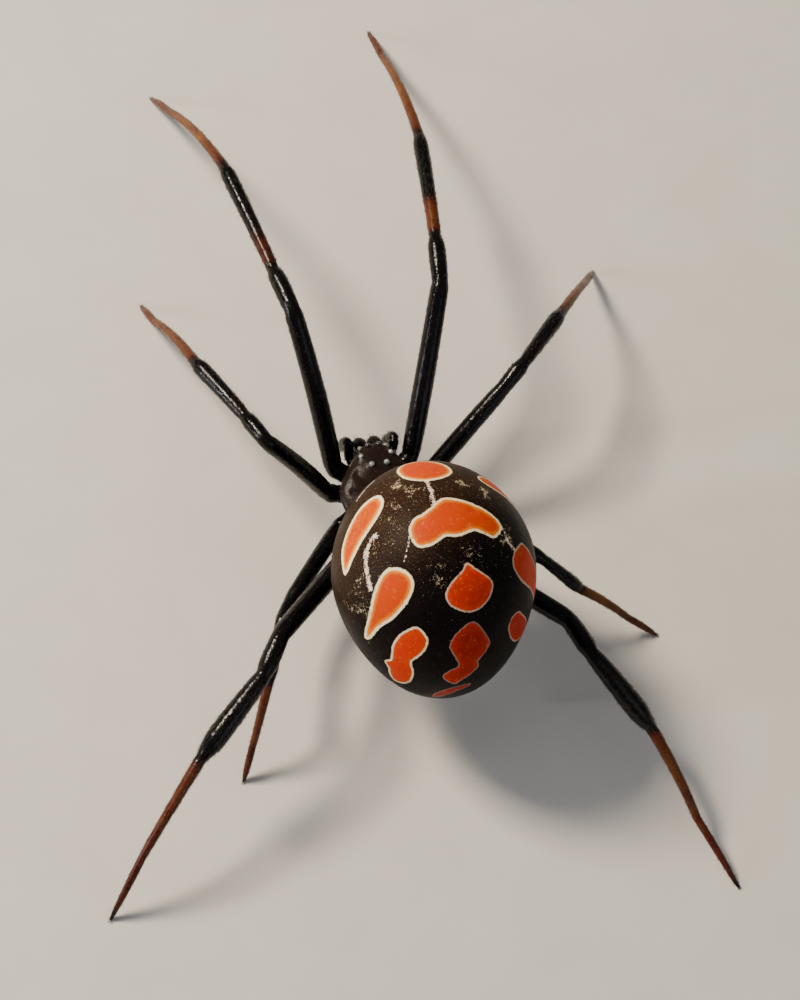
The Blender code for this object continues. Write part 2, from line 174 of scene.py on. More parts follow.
@dataclass(frozen=True)
class LegCuticle:
    """Sclerotised exoskeleton of the legs: chitin tanned black under its own wax.

    The eye sees black glass, whose highlights are broken by the cells' grain, by
    shallow ripples and by the cups that the bristles stand in. The feet are tanned
    less and stay red-brown. The real grain is about 0.02 mm, and is drawn coarser
    so that it shows. The IOR starts from chitin's 1.56 and is matched to the photo.
    """

    name: str = "sclerotised_leg_cuticle"
    tones: Stops = ((0.0, "#060505"), (0.16, "#0b0605"), (0.34, "#210a05"), (0.54, "#4c1808"),
                    (0.76, "#5c3012"), (1.0, "#7c4c20"))
    joint_tone: str = "#1a110e"
    cloud_mm: float = 0.9
    cloud_share: tuple[float, float] = (-0.20, 0.16)
    grain_mm: float = 0.07
    grain_depth_mm: float = 0.005
    socket_mm: float = 0.17
    socket_width: float = 0.18
    socket_depth_mm: float = 0.022
    ripple_mm: float = 0.20
    ripple_depth_mm: float = 0.026
    roughness: tuple[float, float] = (0.15, 0.28)
    foot_roughness: float = 0.12

    def build(self) -> bpy.types.Material:
        """Make the material, whose colour follows the attribute tan.

        Returns:
            The material.
        """
        material, tree = new_material(self.name)
        place = add_node(tree, "ShaderNodeTexCoord").node.outputs["Object"]
        tan, joint = (add_node(tree, "ShaderNodeAttribute", {"attribute_name": name}
                               ).node.outputs["Fac"] for name in ("tan", "membrane"))
        cloud, grain, ripple = (
            add_node(tree, "ShaderNodeTexNoise", None, {
                "Vector": place, "Scale": 1 / (size * MM), "Detail": detail})
            for size, detail in ((self.cloud_mm, 5.0), (self.grain_mm, 3.0),
                                 (self.ripple_mm, 2.0)))
        pits = add_node(tree, "ShaderNodeTexVoronoi", None, {
            "Vector": place, "Scale": 1 / (self.socket_mm * MM)})
        shift = add_node(tree, "ShaderNodeMapRange", None, {
            "Value": cloud, "From Min": NOISE_LOW, "From Max": NOISE_HIGH,
            "To Min": self.cloud_share[0], "To Max": self.cloud_share[1]})
        uneven = add_node(tree, "ShaderNodeMath", {"operation": "MULTIPLY"}, {0: shift, 1: tan})
        tone = add_node(tree, "ShaderNodeMath", {"operation": "ADD"}, {0: tan, 1: uneven})
        colour = add_node(tree, "ShaderNodeValToRGB", {"stops": self.tones}, {"Fac": tone})
        colour = add_node(tree, "ShaderNodeMix", {"data_type": "RGBA"}, {
            "Factor_Float": joint, "A_Color": colour, "B_Color": linear(self.joint_tone)})
        rough = add_node(tree, "ShaderNodeMapRange", None, {
            "Value": cloud, "From Min": NOISE_LOW, "From Max": NOISE_HIGH,
            "To Min": self.roughness[0], "To Max": self.roughness[1]})
        rough = add_node(tree, "ShaderNodeMath", {"operation": "MULTIPLY_ADD"}, {
            0: tan, 1: self.foot_roughness, 2: rough})
        cups = add_node(tree, "ShaderNodeMapRange", None, {
            "Value": pits, "From Min": 0.0, "From Max": self.socket_width,
            "To Min": 1.0, "To Max": 0.0})
        fine = add_node(tree, "ShaderNodeBump", None, {
            "Strength": 1.0, "Distance": self.grain_depth_mm * MM, "Height": grain})
        broad = add_node(tree, "ShaderNodeBump", None, {
            "Strength": 1.0, "Distance": self.ripple_depth_mm * MM, "Height": ripple,
            "Normal": fine})
        bump = add_node(tree, "ShaderNodeBump", None, {
            "Strength": 1.0, "Distance": self.socket_depth_mm * MM, "Height": cups,
            "Normal": broad})
        shader = add_node(tree, "ShaderNodeBsdfPrincipled", None, {
            "Base Color": colour, "Roughness": rough, "Normal": bump, "IOR": 1.44,
            "Specular IOR Level": 0.28})
        add_node(tree, "ShaderNodeOutputMaterial", None, {"Surface": shader})
        return material


@dataclass(frozen=True)
class ShieldCuticle:
    """Thick exoskeleton of the front body, black with a warm depth.

    It is the same waxed chitin as the legs', cast over a wide plate. The eye sees
    a satin black with the grain of its cells, drawn coarser than the real 0.02 mm
    so that it shows, and brown clouds deep in it.
    """

    name: str = "carapace_cuticle"
    dark: str = "#130f0f"
    warm: str = "#251a17"
    grain_mm: float = 0.065
    grain_depth_mm: float = 0.007
    roughness: tuple[float, float] = (0.21, 0.33)
    cloud_mm: float = 0.7
    cloud_depth_mm: float = 0.012

    def build(self) -> bpy.types.Material:
        """Make the material, warm where the attribute tan rises.

        Returns:
            The material.
        """
        material, tree = new_material(self.name)
        place = add_node(tree, "ShaderNodeTexCoord").node.outputs["Object"]
        tan = add_node(tree, "ShaderNodeAttribute", {"attribute_name": "tan"})
        tan = tan.node.outputs["Fac"]
        cloud = add_node(tree, "ShaderNodeTexNoise", None, {
            "Vector": place, "Scale": 1 / (self.cloud_mm * MM), "Detail": 6.0})
        grain = add_node(tree, "ShaderNodeTexVoronoi", None, {
            "Vector": place, "Scale": 1 / (self.grain_mm * MM)})
        tone = add_node(tree, "ShaderNodeMath", {"operation": "MULTIPLY_ADD"}, {
            0: cloud, 1: 0.5, 2: tan})
        warm = add_node(tree, "ShaderNodeMapRange", None, {
            "Value": tone, "From Min": 0.15, "From Max": 0.9})
        colour = add_node(tree, "ShaderNodeMix", {"data_type": "RGBA"}, {
            "Factor_Float": warm, "A_Color": linear(self.dark), "B_Color": linear(self.warm)})
        rough = add_node(tree, "ShaderNodeMapRange", None, {
            "Value": cloud, "From Min": NOISE_LOW, "From Max": NOISE_HIGH,
            "To Min": self.roughness[0], "To Max": self.roughness[1]})
        fine = add_node(tree, "ShaderNodeBump", None, {
            "Strength": 1.0, "Distance": self.grain_depth_mm * MM, "Height": grain})
        bump = add_node(tree, "ShaderNodeBump", None, {
            "Strength": 1.0, "Distance": self.cloud_depth_mm * MM, "Height": cloud,
            "Normal": fine})
        shader = add_node(tree, "ShaderNodeBsdfPrincipled", None, {
            "Base Color": colour, "Roughness": rough, "Normal": bump, "IOR": 1.44,
            "Specular IOR Level": 0.14})
        add_node(tree, "ShaderNodeOutputMaterial", None, {"Surface": shader})
        return material


@dataclass(frozen=True)
class AbdomenCuticle:
    """Thin stretched cuticle of the abdomen, brown-black, with pigment spots.

    The wall is soft and finely creased, which gives the eye a silky gloss. The
    creases, of about 0.02 mm, are drawn coarser so that they show. The spots are
    orange pigment under it, each inside a thin ragged line of pale guanine.

    brown and black hold the plain and the mottled ground: brown is painted light on the front
    and the left, black is painted shade behind and underneath, each partly the skin's own tone.
    noises holds each pattern's name, size in millimetres, detail and roughness.
    """

    name: str = "abdomen_cuticle_with_pigment_spots"
    brown: tuple[str, str] = ("#23150c", "#332014")
    black: tuple[str, str] = ("#080506", "#120b0a")
    gold: str = "#7a5a38"
    dust: str = "#d9c4a0"
    chalk: str = "#f3dcc6"
    vein: str = "#f0904c"
    pigment: Stops = ((0.0, "#7c0c02"), (0.25, "#ac1a01"), (0.5, "#d63200"), (0.75, "#c64600"),
                      (1.0, "#ea8206"))
    guanine: Stops = ((0.0, "#fff3c4"), (0.4, "#f6dcb4"), (0.75, "#b98c82"), (1.0, "#8a6660"))
    noises: tuple = (("cloud", 1.3, 5.0, 0.5), ("blotch", 0.34, 5.0, 0.5),
                     ("crumb", 0.13, 4.0, 0.6), ("crease", 0.055, 4.0, 0.5),
                     ("speck", 0.045, 2.0, 0.5))
    vein_mm: float = 0.62
    ragged_mm: float = 0.05
    crease_depth_mm: float = 0.0045
    blotch_depth_mm: float = 0.012
    roughness: tuple[float, float] = (0.40, 0.56)

    def build(self) -> bpy.types.Material:
        """Make the material, which reads the spots' edges and tints as attributes.

        Returns:
            The material.
        """
        material, tree = new_material(self.name)
        place = add_node(tree, "ShaderNodeTexCoord").node.outputs["Object"]
        known = {"place": place}
        for name in ("spot_edge", "spot_tint", "spot_border", "spot_rim", "pale_line", "shade",
                     "flecks"):
            read = add_node(tree, "ShaderNodeAttribute", {"attribute_name": name})
            known[name] = read.node.outputs["Fac"]
        for name, size, detail, rough in self.noises:
            known[name] = add_node(tree, "ShaderNodeTexNoise", None, {
                "Vector": place, "Scale": 1 / (size * MM), "Detail": detail, "Roughness": rough})
        wobble = add_node(tree, "ShaderNodeMath", {"operation": "SUBTRACT"}, {
            0: known["crumb"], 1: 0.5})
        known["depth"] = add_node(tree, "ShaderNodeMath", {"operation": "MULTIPLY_ADD"}, {
            0: wobble, 1: self.ragged_mm * 2, 2: known["spot_edge"]})
        edge = add_node(tree, "ShaderNodeMath", {"operation": "DIVIDE"}, {
            0: known["depth"], 1: known["spot_border"]})
        rim = add_node(tree, "ShaderNodeMapRange", {"interpolation_type": "SMOOTHSTEP"}, {
            "Value": edge, "From Min": -1.35, "From Max": -0.65})
        thin = add_node(tree, "ShaderNodeMapRange", None, {
            "Value": known["blotch"], "From Min": 0.30, "From Max": 0.40, "To Min": 0.55})
        rim = add_node(tree, "ShaderNodeMath", {"operation": "MULTIPLY"}, {0: rim, 1: thin})
        inner = add_node(tree, "ShaderNodeMapRange", {"interpolation_type": "SMOOTHSTEP"}, {
            "Value": edge, "From Min": 0.35, "From Max": 1.4})
        line = add_node(tree, "ShaderNodeMath", {"operation": "MULTIPLY_ADD"}, {
            0: wobble, 1: -6.0, 2: known["pale_line"]})
        loose = add_node(tree, "ShaderNodeMath", {"operation": "SUBTRACT"}, {
            0: known["speck"], 1: 0.5})
        line = add_node(tree, "ShaderNodeMath", {"operation": "MULTIPLY_ADD"}, {
            0: loose, 1: -5.0, 2: line})
        line = add_node(tree, "ShaderNodeMapRange", {"interpolation_type": "SMOOTHSTEP"}, {
            "Value": line, "From Min": 0.75, "From Max": 1.35, "To Min": 0.95, "To Max": 0.0})
        cream = add_node(tree, "ShaderNodeValToRGB", {"stops": self.guanine}, {
            "Fac": known["spot_rim"]})
        colour = self.ground(tree, known)
        for share, over in ((line, linear(self.chalk)), (rim, cream),
                            (inner, self.spot_filling(tree, known))):
            colour = add_node(tree, "ShaderNodeMix", {"data_type": "RGBA"}, {
                "Factor_Float": share, "A_Color": colour, "B_Color": over})
        rough = add_node(tree, "ShaderNodeMapRange", None, {
            "Value": known["cloud"], "From Min": NOISE_LOW, "From Max": NOISE_HIGH,
            "To Min": self.roughness[0], "To Max": self.roughness[1]})
        fine = add_node(tree, "ShaderNodeBump", None, {
            "Strength": 1.0, "Distance": self.crease_depth_mm * MM, "Height": known["crease"]})
        bump = add_node(tree, "ShaderNodeBump", None, {
            "Strength": 1.0, "Distance": self.blotch_depth_mm * MM, "Height": known["blotch"],
            "Normal": fine})
        shader = add_node(tree, "ShaderNodeBsdfPrincipled", None, {
            "Base Color": colour, "Roughness": rough, "Normal": bump, "IOR": 1.42,
            "Specular IOR Level": 0.09})
        add_node(tree, "ShaderNodeOutputMaterial", None, {"Surface": shader})
        return material

    def ground(self, tree: bpy.types.NodeTree,
               known: dict[str, bpy.types.NodeSocket]) -> bpy.types.NodeSocket:
        """Colour the ground between the spots: mottled, with painted shade and painted glints.

        Args:
            tree: the material's tree.
            known: the attributes and noises by name.

        Returns:
            The colour.
        """
        # The ground mixes the brown of the painted light and the black of the painted shade by
        # shade.
        plain, mottled = (
            add_node(tree, "ShaderNodeMix", {"data_type": "RGBA"}, {
                "Factor_Float": known["shade"], "A_Color": linear(brown),
                "B_Color": linear(black)})
            for brown, black in zip(self.brown, self.black))
        mottle = add_node(tree, "ShaderNodeMapRange", None, {
            "Value": known["cloud"], "From Min": 0.42, "From Max": 0.72, "To Max": 0.5})
        light = add_node(tree, "ShaderNodeMapRange", None, {
            "Value": known["shade"], "To Min": 0.62, "To Max": 0.07})
        # Gold specks: a painted glint of the short hairs, shown only where light is painted.
        gold = add_node(tree, "ShaderNodeMapRange", None, {
            "Value": known["speck"], "From Min": 0.56, "From Max": 0.70})
        gold = add_node(tree, "ShaderNodeMath", {"operation": "MULTIPLY"}, {0: gold, 1: light})
        # Pale flecks: the painted glint of the pale hair clumps, laid over real pale hair.
        dust = add_node(tree, "ShaderNodeMath", {"operation": "MULTIPLY_ADD"}, {
            0: known["flecks"], 1: 0.26, 2: known["crumb"]})
        dust = add_node(tree, "ShaderNodeMath", {"operation": "MULTIPLY_ADD"}, {
            0: known["speck"], 1: 0.9, 2: dust})
        dust = add_node(tree, "ShaderNodeMapRange", None, {
            "Value": dust, "From Min": 1.19, "From Max": 1.34, "To Max": 0.80})
        colour = plain
        for share, over in ((mottle, mottled), (gold, linear(self.gold)),
                            (dust, linear(self.dust))):
            colour = add_node(tree, "ShaderNodeMix", {"data_type": "RGBA"}, {
                "Factor_Float": share, "A_Color": colour, "B_Color": over})
        return colour

    def spot_filling(self, tree: bpy.types.NodeTree,
                     known: dict[str, bpy.types.NodeSocket]) -> bpy.types.NodeSocket:
        """Colour the spots: yellower near the rim, with a painted waxy sheen in broken pale
        streaks.

        Args:
            tree: the material's tree.
            known: the attributes and noises by name.

        Returns:
            The colour.
        """
        fill = add_node(tree, "ShaderNodeMath", {"operation": "MULTIPLY_ADD"}, {
            0: known["blotch"], 1: 0.24, 2: known["spot_tint"]})
        near = add_node(tree, "ShaderNodeMapRange", {"interpolation_type": "SMOOTHSTEP"}, {
            "Value": known["depth"], "From Min": 0.03, "From Max": 0.30, "To Min": 0.42,
            "To Max": 0.0})
        gentle = add_node(tree, "ShaderNodeMapRange", None, {
            "Value": known["spot_rim"], "From Max": 0.7, "To Min": 1.0, "To Max": 0.25})
        near = add_node(tree, "ShaderNodeMath", {"operation": "MULTIPLY"}, {0: near, 1: gentle})
        fill = add_node(tree, "ShaderNodeMath", {"operation": "ADD"}, {0: fill, 1: near})
        fill = add_node(tree, "ShaderNodeMath", {"operation": "SUBTRACT"}, {0: fill, 1: 0.16})
        orange = add_node(tree, "ShaderNodeValToRGB", {"stops": self.pigment}, {"Fac": fill})
        # Painted sheen: broken pale streaks that stand in for the wax's reflection on the spots.
        sheen_streaks = add_node(tree, "ShaderNodeTexNoise", None, {
            "Vector": known["place"], "Scale": 1 / (self.vein_mm * MM), "Detail": 3.0,
            "Distortion": 1.4})
        sheen_streaks = add_node(tree, "ShaderNodeMath", {"operation": "SUBTRACT"}, {0: sheen_streaks, 1: 0.5})
        sheen_streaks = add_node(tree, "ShaderNodeMath", {"operation": "ABSOLUTE"}, {0: sheen_streaks})
        sheen_streaks = add_node(tree, "ShaderNodeMapRange", None, {
            "Value": sheen_streaks, "From Min": 0.0, "From Max": 0.022, "To Min": 0.50, "To Max": 0.0})
        broken = add_node(tree, "ShaderNodeMapRange", None, {
            "Value": known["crumb"], "From Min": 0.46, "From Max": 0.60})
        sheen_streaks = add_node(tree, "ShaderNodeMath", {"operation": "MULTIPLY"}, {
            0: sheen_streaks, 1: broken})
        return add_node(tree, "ShaderNodeMix", {"data_type": "RGBA"}, {
            "Factor_Float": sheen_streaks, "A_Color": orange, "B_Color": linear(self.vein)})


@dataclass(frozen=True)
class PlainChitin:
    """A small hard part: an eye's lens, a fang, a claw or the soft skin of the joints.

    The colour varies a little at the given grain, and a bump of that grain
    breaks the shine. coat is how much of a clear wet layer lies on top.
    """

    name: str
    dark: str
    light: str
    roughness: float
    grain_mm: float = 0.08
    depth_mm: float = 0.002
    coat: float = 0.0

    def build(self) -> bpy.types.Material:
        """Make the material.

        Returns:
            The material.
        """
        material, tree = new_material(self.name)
        place = add_node(tree, "ShaderNodeTexCoord").node.outputs["Object"]
        grain = add_node(tree, "ShaderNodeTexNoise", None, {
            "Vector": place, "Scale": 1 / (self.grain_mm * MM), "Detail": 4.0})
        colour = add_node(tree, "ShaderNodeValToRGB",
                          {"stops": ((NOISE_LOW, self.dark), (0.75, self.light))},
                          {"Fac": grain})
        bump = add_node(tree, "ShaderNodeBump", None, {
            "Strength": 1.0, "Distance": self.depth_mm * MM, "Height": grain})
        shader = add_node(tree, "ShaderNodeBsdfPrincipled", None, {
            "Base Color": colour, "Roughness": self.roughness, "Normal": bump, "IOR": 1.56,
            "Coat Weight": self.coat, "Coat Roughness": 0.05})
        add_node(tree, "ShaderNodeOutputMaterial", None, {"Surface": shader})
        return material


@dataclass(frozen=True)
class Bristle:
    """Setae: hollow chitin hairs, dark at the root, that glint where light runs along them.

    Each is one or two hundredths of a millimetre thick at its root, a little more
    than a real one, so that it shows.
    """

    name: str
    root: str
    tip: str
    brown_root: str
    brown_tip: str
    roughness: float = 0.34

    def build(self) -> bpy.types.Material:
        """Make the material, which mixes to the brown colours by the attribute tan.

        Returns:
            The material.
        """
        material, tree = new_material(self.name)
        along, tan = (add_node(tree, "ShaderNodeAttribute", {"attribute_name": name}
                               ).node.outputs["Fac"] for name in ("hair_along", "tan"))
        plain, brown = (add_node(tree, "ShaderNodeValToRGB",
                                 {"stops": ((0.0, root), (1.0, tip))}, {"Fac": along})
                        for root, tip in ((self.root, self.tip),
                                          (self.brown_root, self.brown_tip)))
        colour = add_node(tree, "ShaderNodeMix", {"data_type": "RGBA"}, {
            "Factor_Float": tan, "A_Color": plain, "B_Color": brown})
        shader = add_node(tree, "ShaderNodeBsdfPrincipled", None, {
            "Base Color": colour, "Roughness": self.roughness, "IOR": 1.56})
        add_node(tree, "ShaderNodeOutputMaterial", None, {"Surface": shader})
        return material


# Jaws and spinnerets are thinner shields, so that brown shows through the black. The
# joints' skin is matt and creased. The lenses are wet and clear over a black cup, or
# over the mirror that makes six of them pearly, painted paler still as a painted glint.
# Fangs and claws are glassy and red-brown.
FINISHES = {
    "leg": LegCuticle(),
    "shield": ShieldCuticle(),
    "abdomen": AbdomenCuticle(),
    "jaw": ShieldCuticle("chelicera_cuticle", dark="#0a0807", warm="#26100a"),
    "spinneret": ShieldCuticle("spinneret_cuticle", dark="#120d0b", warm="#3a261d",
                               grain_mm=0.05, grain_depth_mm=0.006, roughness=(0.34, 0.5)),
    "membrane": PlainChitin("arthrodial_membrane", dark="#120c0b", light="#2c1e1a",
                            roughness=0.55, grain_mm=0.12, depth_mm=0.01),
    "eye": PlainChitin("corneal_lens", dark="#0b0706", light="#2a140b", roughness=0.06,
                       grain_mm=0.2, depth_mm=0.0, coat=1.0),
    # The pearly lenses' pale colour is the tapetum's mirror and, partly, a painted glint.
    "pearly_eye": PlainChitin("corneal_lens_over_tapetum", dark="#2c3438", light="#ccd2cc",
                              roughness=0.06, grain_mm=0.13, depth_mm=0.001, coat=1.0),
    "fang": PlainChitin("fang_chitin", dark="#1c0906", light="#6a2610", roughness=0.18,
                        grain_mm=0.15, depth_mm=0.001, coat=0.5),
    "claw": PlainChitin("claw_chitin", dark="#120807", light="#4a1f10", roughness=0.25,
                        grain_mm=0.05, depth_mm=0.001, coat=0.2),
    "hair": Bristle("leg_setae", root="#080707", tip="#2a2420", brown_root="#2a1209",
                    brown_tip="#8a5c38"),
    # The body hairs are pale only in the clumps, and that paleness is partly a painted glint.
    "pale_hair": Bristle("body_setae", root="#5c4c3e", tip="#f2e8d8", brown_root="#120b08",
                         brown_tip="#4a3426", roughness=0.30),
}


def finished(mesh: bpy.types.Mesh, name: str, material: bpy.types.Material,
             nodes: Sequence[str] = ()) -> bpy.types.Object:
    """Turn a mesh to a piece that rides on the body.

    Args:
        mesh: the piece's mesh, in its place.
        name: the piece's name.
        material: its finish.
        nodes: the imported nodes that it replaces.

    Returns:
        The piece.
    """
    piece = bpy.data.objects.new(name, mesh)
    bpy.context.scene.collection.objects.link(piece)
    mesh.name = name
    mesh.materials.clear()
    mesh.materials.append(material)
    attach(piece, "root")
    if nodes:
        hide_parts(*nodes)
    triangles = sum(len(face.vertices) - 2 for face in mesh.polygons)
    LOG.info("%s: %d triangles", name, triangles)
    return piece


@dataclass
class Skin:
    """A closed surface of rings, with what is known at each of its points.

    The first and last ring are closed by a pole each. values holds one number or
    vector for each ring point, in the rings' own layout.
    """

    rings: Points
    poles: Points
    values: dict[str, Points] = field(default_factory=dict)

    def faces(self) -> tuple[Points, Points, Points, Points]:
        """Wire the rings and close their ends.

        Returns:
            Quads and their UVs, then the poles' triangles and their UVs.
        """
        count, sides = self.rings.shape[:2]
        row, column = np.meshgrid(np.arange(count - 1), np.arange(sides), indexing="ij")
        after = (column + 1) % sides
        quads = np.stack([row * sides + column, row * sides + after,
                          (row + 1) * sides + after, (row + 1) * sides + column], -1)
        corner_u = np.stack([column, column + 1, column + 1, column], -1) / sides
        corner_v = (np.stack([row, row, row + 1, row + 1], -1) + 1) / (count + 1)
        quad_uvs = np.stack([corner_u, corner_v], -1)
        side = np.arange(sides)
        after = (side + 1) % sides
        base = (count - 1) * sides
        first = np.stack([np.full(sides, count * sides), after, side], -1)
        last = np.stack([np.full(sides, count * sides + 1), base + side, base + after], -1)
        left, middle, right = side / sides, (side + 0.5) / sides, (side + 1) / sides
        bottom, top = np.zeros(sides), np.ones(sides)
        low, high = top / (count + 1), top * count / (count + 1)
        uv_first = np.stack([middle, bottom, right, low, left, low], -1)
        uv_last = np.stack([middle, top, left, high, right, high], -1)
        return (quads.reshape(-1, 4), quad_uvs.reshape(-1, 4, 2),
                np.concatenate([first, last]),
                np.concatenate([uv_first, uv_last]).reshape(-1, 3, 2))

    def mesh(self, name: str) -> bpy.types.Mesh:
        """Build the mesh in the row frame, in metres, with its faces outwards.

        Args:
            name: the mesh's name.

        Returns:
            A smooth closed mesh with a UV map and the values as attributes.
        """
        places = np.concatenate([self.rings.reshape(-1, 3), self.poles])
        quads, quad_uvs, triangles, triangle_uvs = self.faces()
        corners = places[triangles]
        volume = np.einsum("ij,ij->i", corners[:, 0],
                           np.cross(corners[:, 1], corners[:, 2])).sum()
        for order in ((0, 1, 2), (0, 2, 3)):
            part = places[quads[:, order]]
            volume += np.einsum("ij,ij->i", part[:, 0],
                                np.cross(part[:, 1], part[:, 2])).sum()
        if volume < 0:
            quads, quad_uvs = quads[:, ::-1], quad_uvs[:, ::-1]
            triangles, triangle_uvs = triangles[:, ::-1], triangle_uvs[:, ::-1]
        mesh = bpy.data.meshes.new(name)
        mesh.from_pydata((places * MM + ORIGIN).tolist(), [],
                         quads.tolist() + triangles.tolist())
        layer = mesh.uv_layers.new(name="SkinUV")
        uvs = np.concatenate([quad_uvs.reshape(-1, 2), triangle_uvs.reshape(-1, 2)])
        layer.data.foreach_set("uv", uvs.astype(np.float32).ravel())
        for key, value in self.values.items():
            self.store(mesh, key, value)
        mesh.shade_smooth()
        mesh.update()
        return mesh

    def dress(self, along: Points, lift: float, rows: dict[str, Points | float]) -> None:
        """Give a tube its values, which are the same all round it.

        Args:
            along: the tube's directions, which its hairs follow.
            lift: how far they stand up.
            rows: each value by name, for each ring or for all.
        """
        shape = self.rings.shape[:2]
        for key, value in rows.items():
            self.values[key] = np.broadcast_to(np.reshape(value, (-1, 1)), shape)
        self.values["hair_lift"] = np.full(shape, lift)
        self.values["hair_lie"] = np.repeat(along[:, None], shape[1], 1)

    def store(self, mesh: bpy.types.Mesh, key: str, value: Points) -> None:
        """Write one value of the rings, and its mean at the poles, as an attribute.

        Args:
            mesh: the mesh that gets it.
            key: the attribute's name.
            value: the numbers or vectors, one for each ring point.
        """
        vector = value.ndim == 3
        flat = value.reshape(-1, 3) if vector else value.reshape(-1)
        ends = np.stack([value[0].mean(0), value[-1].mean(0)])
        full = np.concatenate([flat, ends]).astype(np.float32)
        kind, word = ("FLOAT_VECTOR", "vector") if vector else ("FLOAT", "value")
        layer = mesh.attributes.new(key, kind, "POINT")
        layer.data.foreach_set(word, full.ravel())


def tube_rings(path: Points, radii: Points, sides: int) -> tuple[Points, Points]:
    """Sweep a round section along a path.

    Args:
        path: the middle line.
        radii: the radius at each of its points.
        sides: how many points a ring has.

    Returns:
        The rings, starting on their upper side, and the path's directions.
    """
    along = unit_rows(np.gradient(path, axis=0))
    above = np.empty_like(along)
    carried = np.array((0.0, 0.0, 1.0) if abs(along[0][2]) < 0.9 else (0.0, -1.0, 0.0))
    for row, way in enumerate(along):
        carried = unit_rows(carried - way * (carried @ way))
        above[row] = carried
    across = np.cross(along, above)
    turn = np.arange(sides) / sides * 2 * math.pi
    ring = (above[:, None] * np.cos(turn)[None, :, None]
            + across[:, None] * np.sin(turn)[None, :, None])
    return path[:, None] + ring * np.asarray(radii)[:, None, None], along


def rounded_tube(path: Points, radii: Points, sides: int, round_start: float = 0.6,
                 round_end: float = 0.6) -> tuple[Skin, Points]:
    """Return a tube skin with domed ends.

    Args:
        path: the middle line.
        radii: the radius at each of its points.
        sides: how many points a ring has.
        round_start: how far the first pole stands out, in radii.
        round_end: the same at the last one.

    Returns:
        The skin, and the path's directions.
    """
    rings, along = tube_rings(path, radii, sides)
    poles = np.stack([path[0] - along[0] * radii[0] * round_start,
                      path[-1] + along[-1] * radii[-1] * round_end])
    return Skin(rings, poles), along


def smooth_rows(rows: Points, reach: float) -> Points:
    """Blur rows along their order, with the two ends held.

    Args:
        rows: the values to blur.
        reach: the blur's standard deviation, in rows.

    Returns:
        The blurred rows.
    """
    size = max(int(reach * 3), 1)
    offsets = np.arange(-size, size + 1)
    weights = np.exp(-0.5 * (offsets / reach) ** 2)
    weights /= weights.sum()
    flat = rows.reshape(len(rows), -1)
    padded = np.concatenate([2 * flat[:1] - flat[size:0:-1], flat,
                             2 * flat[-1:] - flat[-2:-size - 2:-1]])
    blurred = np.stack([np.convolve(padded[:, column], weights, "valid")
                        for column in range(flat.shape[1])], -1)
    return blurred.reshape(rows.shape)


def globe(count: int, sides: int) -> Points:
    """Return rings of unit vectors from the front pole to the rear one.

    Args:
        count: how many rings, without the poles.
        sides: how many points a ring has, from the top towards the left.

    Returns:
        The vectors, ring by ring.
    """
    polar = (np.arange(count) + 1) / (count + 1) * math.pi
    turn = np.arange(sides) / sides * 2 * math.pi
    polar, turn = np.meshgrid(polar, turn, indexing="ij")
    return np.stack([np.sin(polar) * np.sin(turn), -np.cos(polar),
                     np.sin(polar) * np.cos(turn)], -1)


def catmull(points: Points, steps: int, closed: bool = False) -> Points:
    """Run a smooth curve through points.

    Args:
        points: what it passes through.
        steps: how many samples each span gets.
        closed: whether it comes back to its start.

    Returns:
        The samples.
    """
    points = np.asarray(points, float)
    if closed:
        padded = np.concatenate([points[-1:], points, points[:2]])
    else:
        padded = np.concatenate([2 * points[:1] - points[1:2], points,
                                 2 * points[-1:] - points[-2:-1]])
    samples = []
    for before, start, end, after in zip(padded, padded[1:], padded[2:], padded[3:]):
        for share in np.arange(steps) / steps:
            samples.append(0.5 * (
                2 * start + (end - before) * share
                + (2 * before - 5 * start + 4 * end - after) * share ** 2
                + (3 * start - before - 3 * end + after) * share ** 3))
    if not closed:
        samples.append(points[-1])
    return np.array(samples)


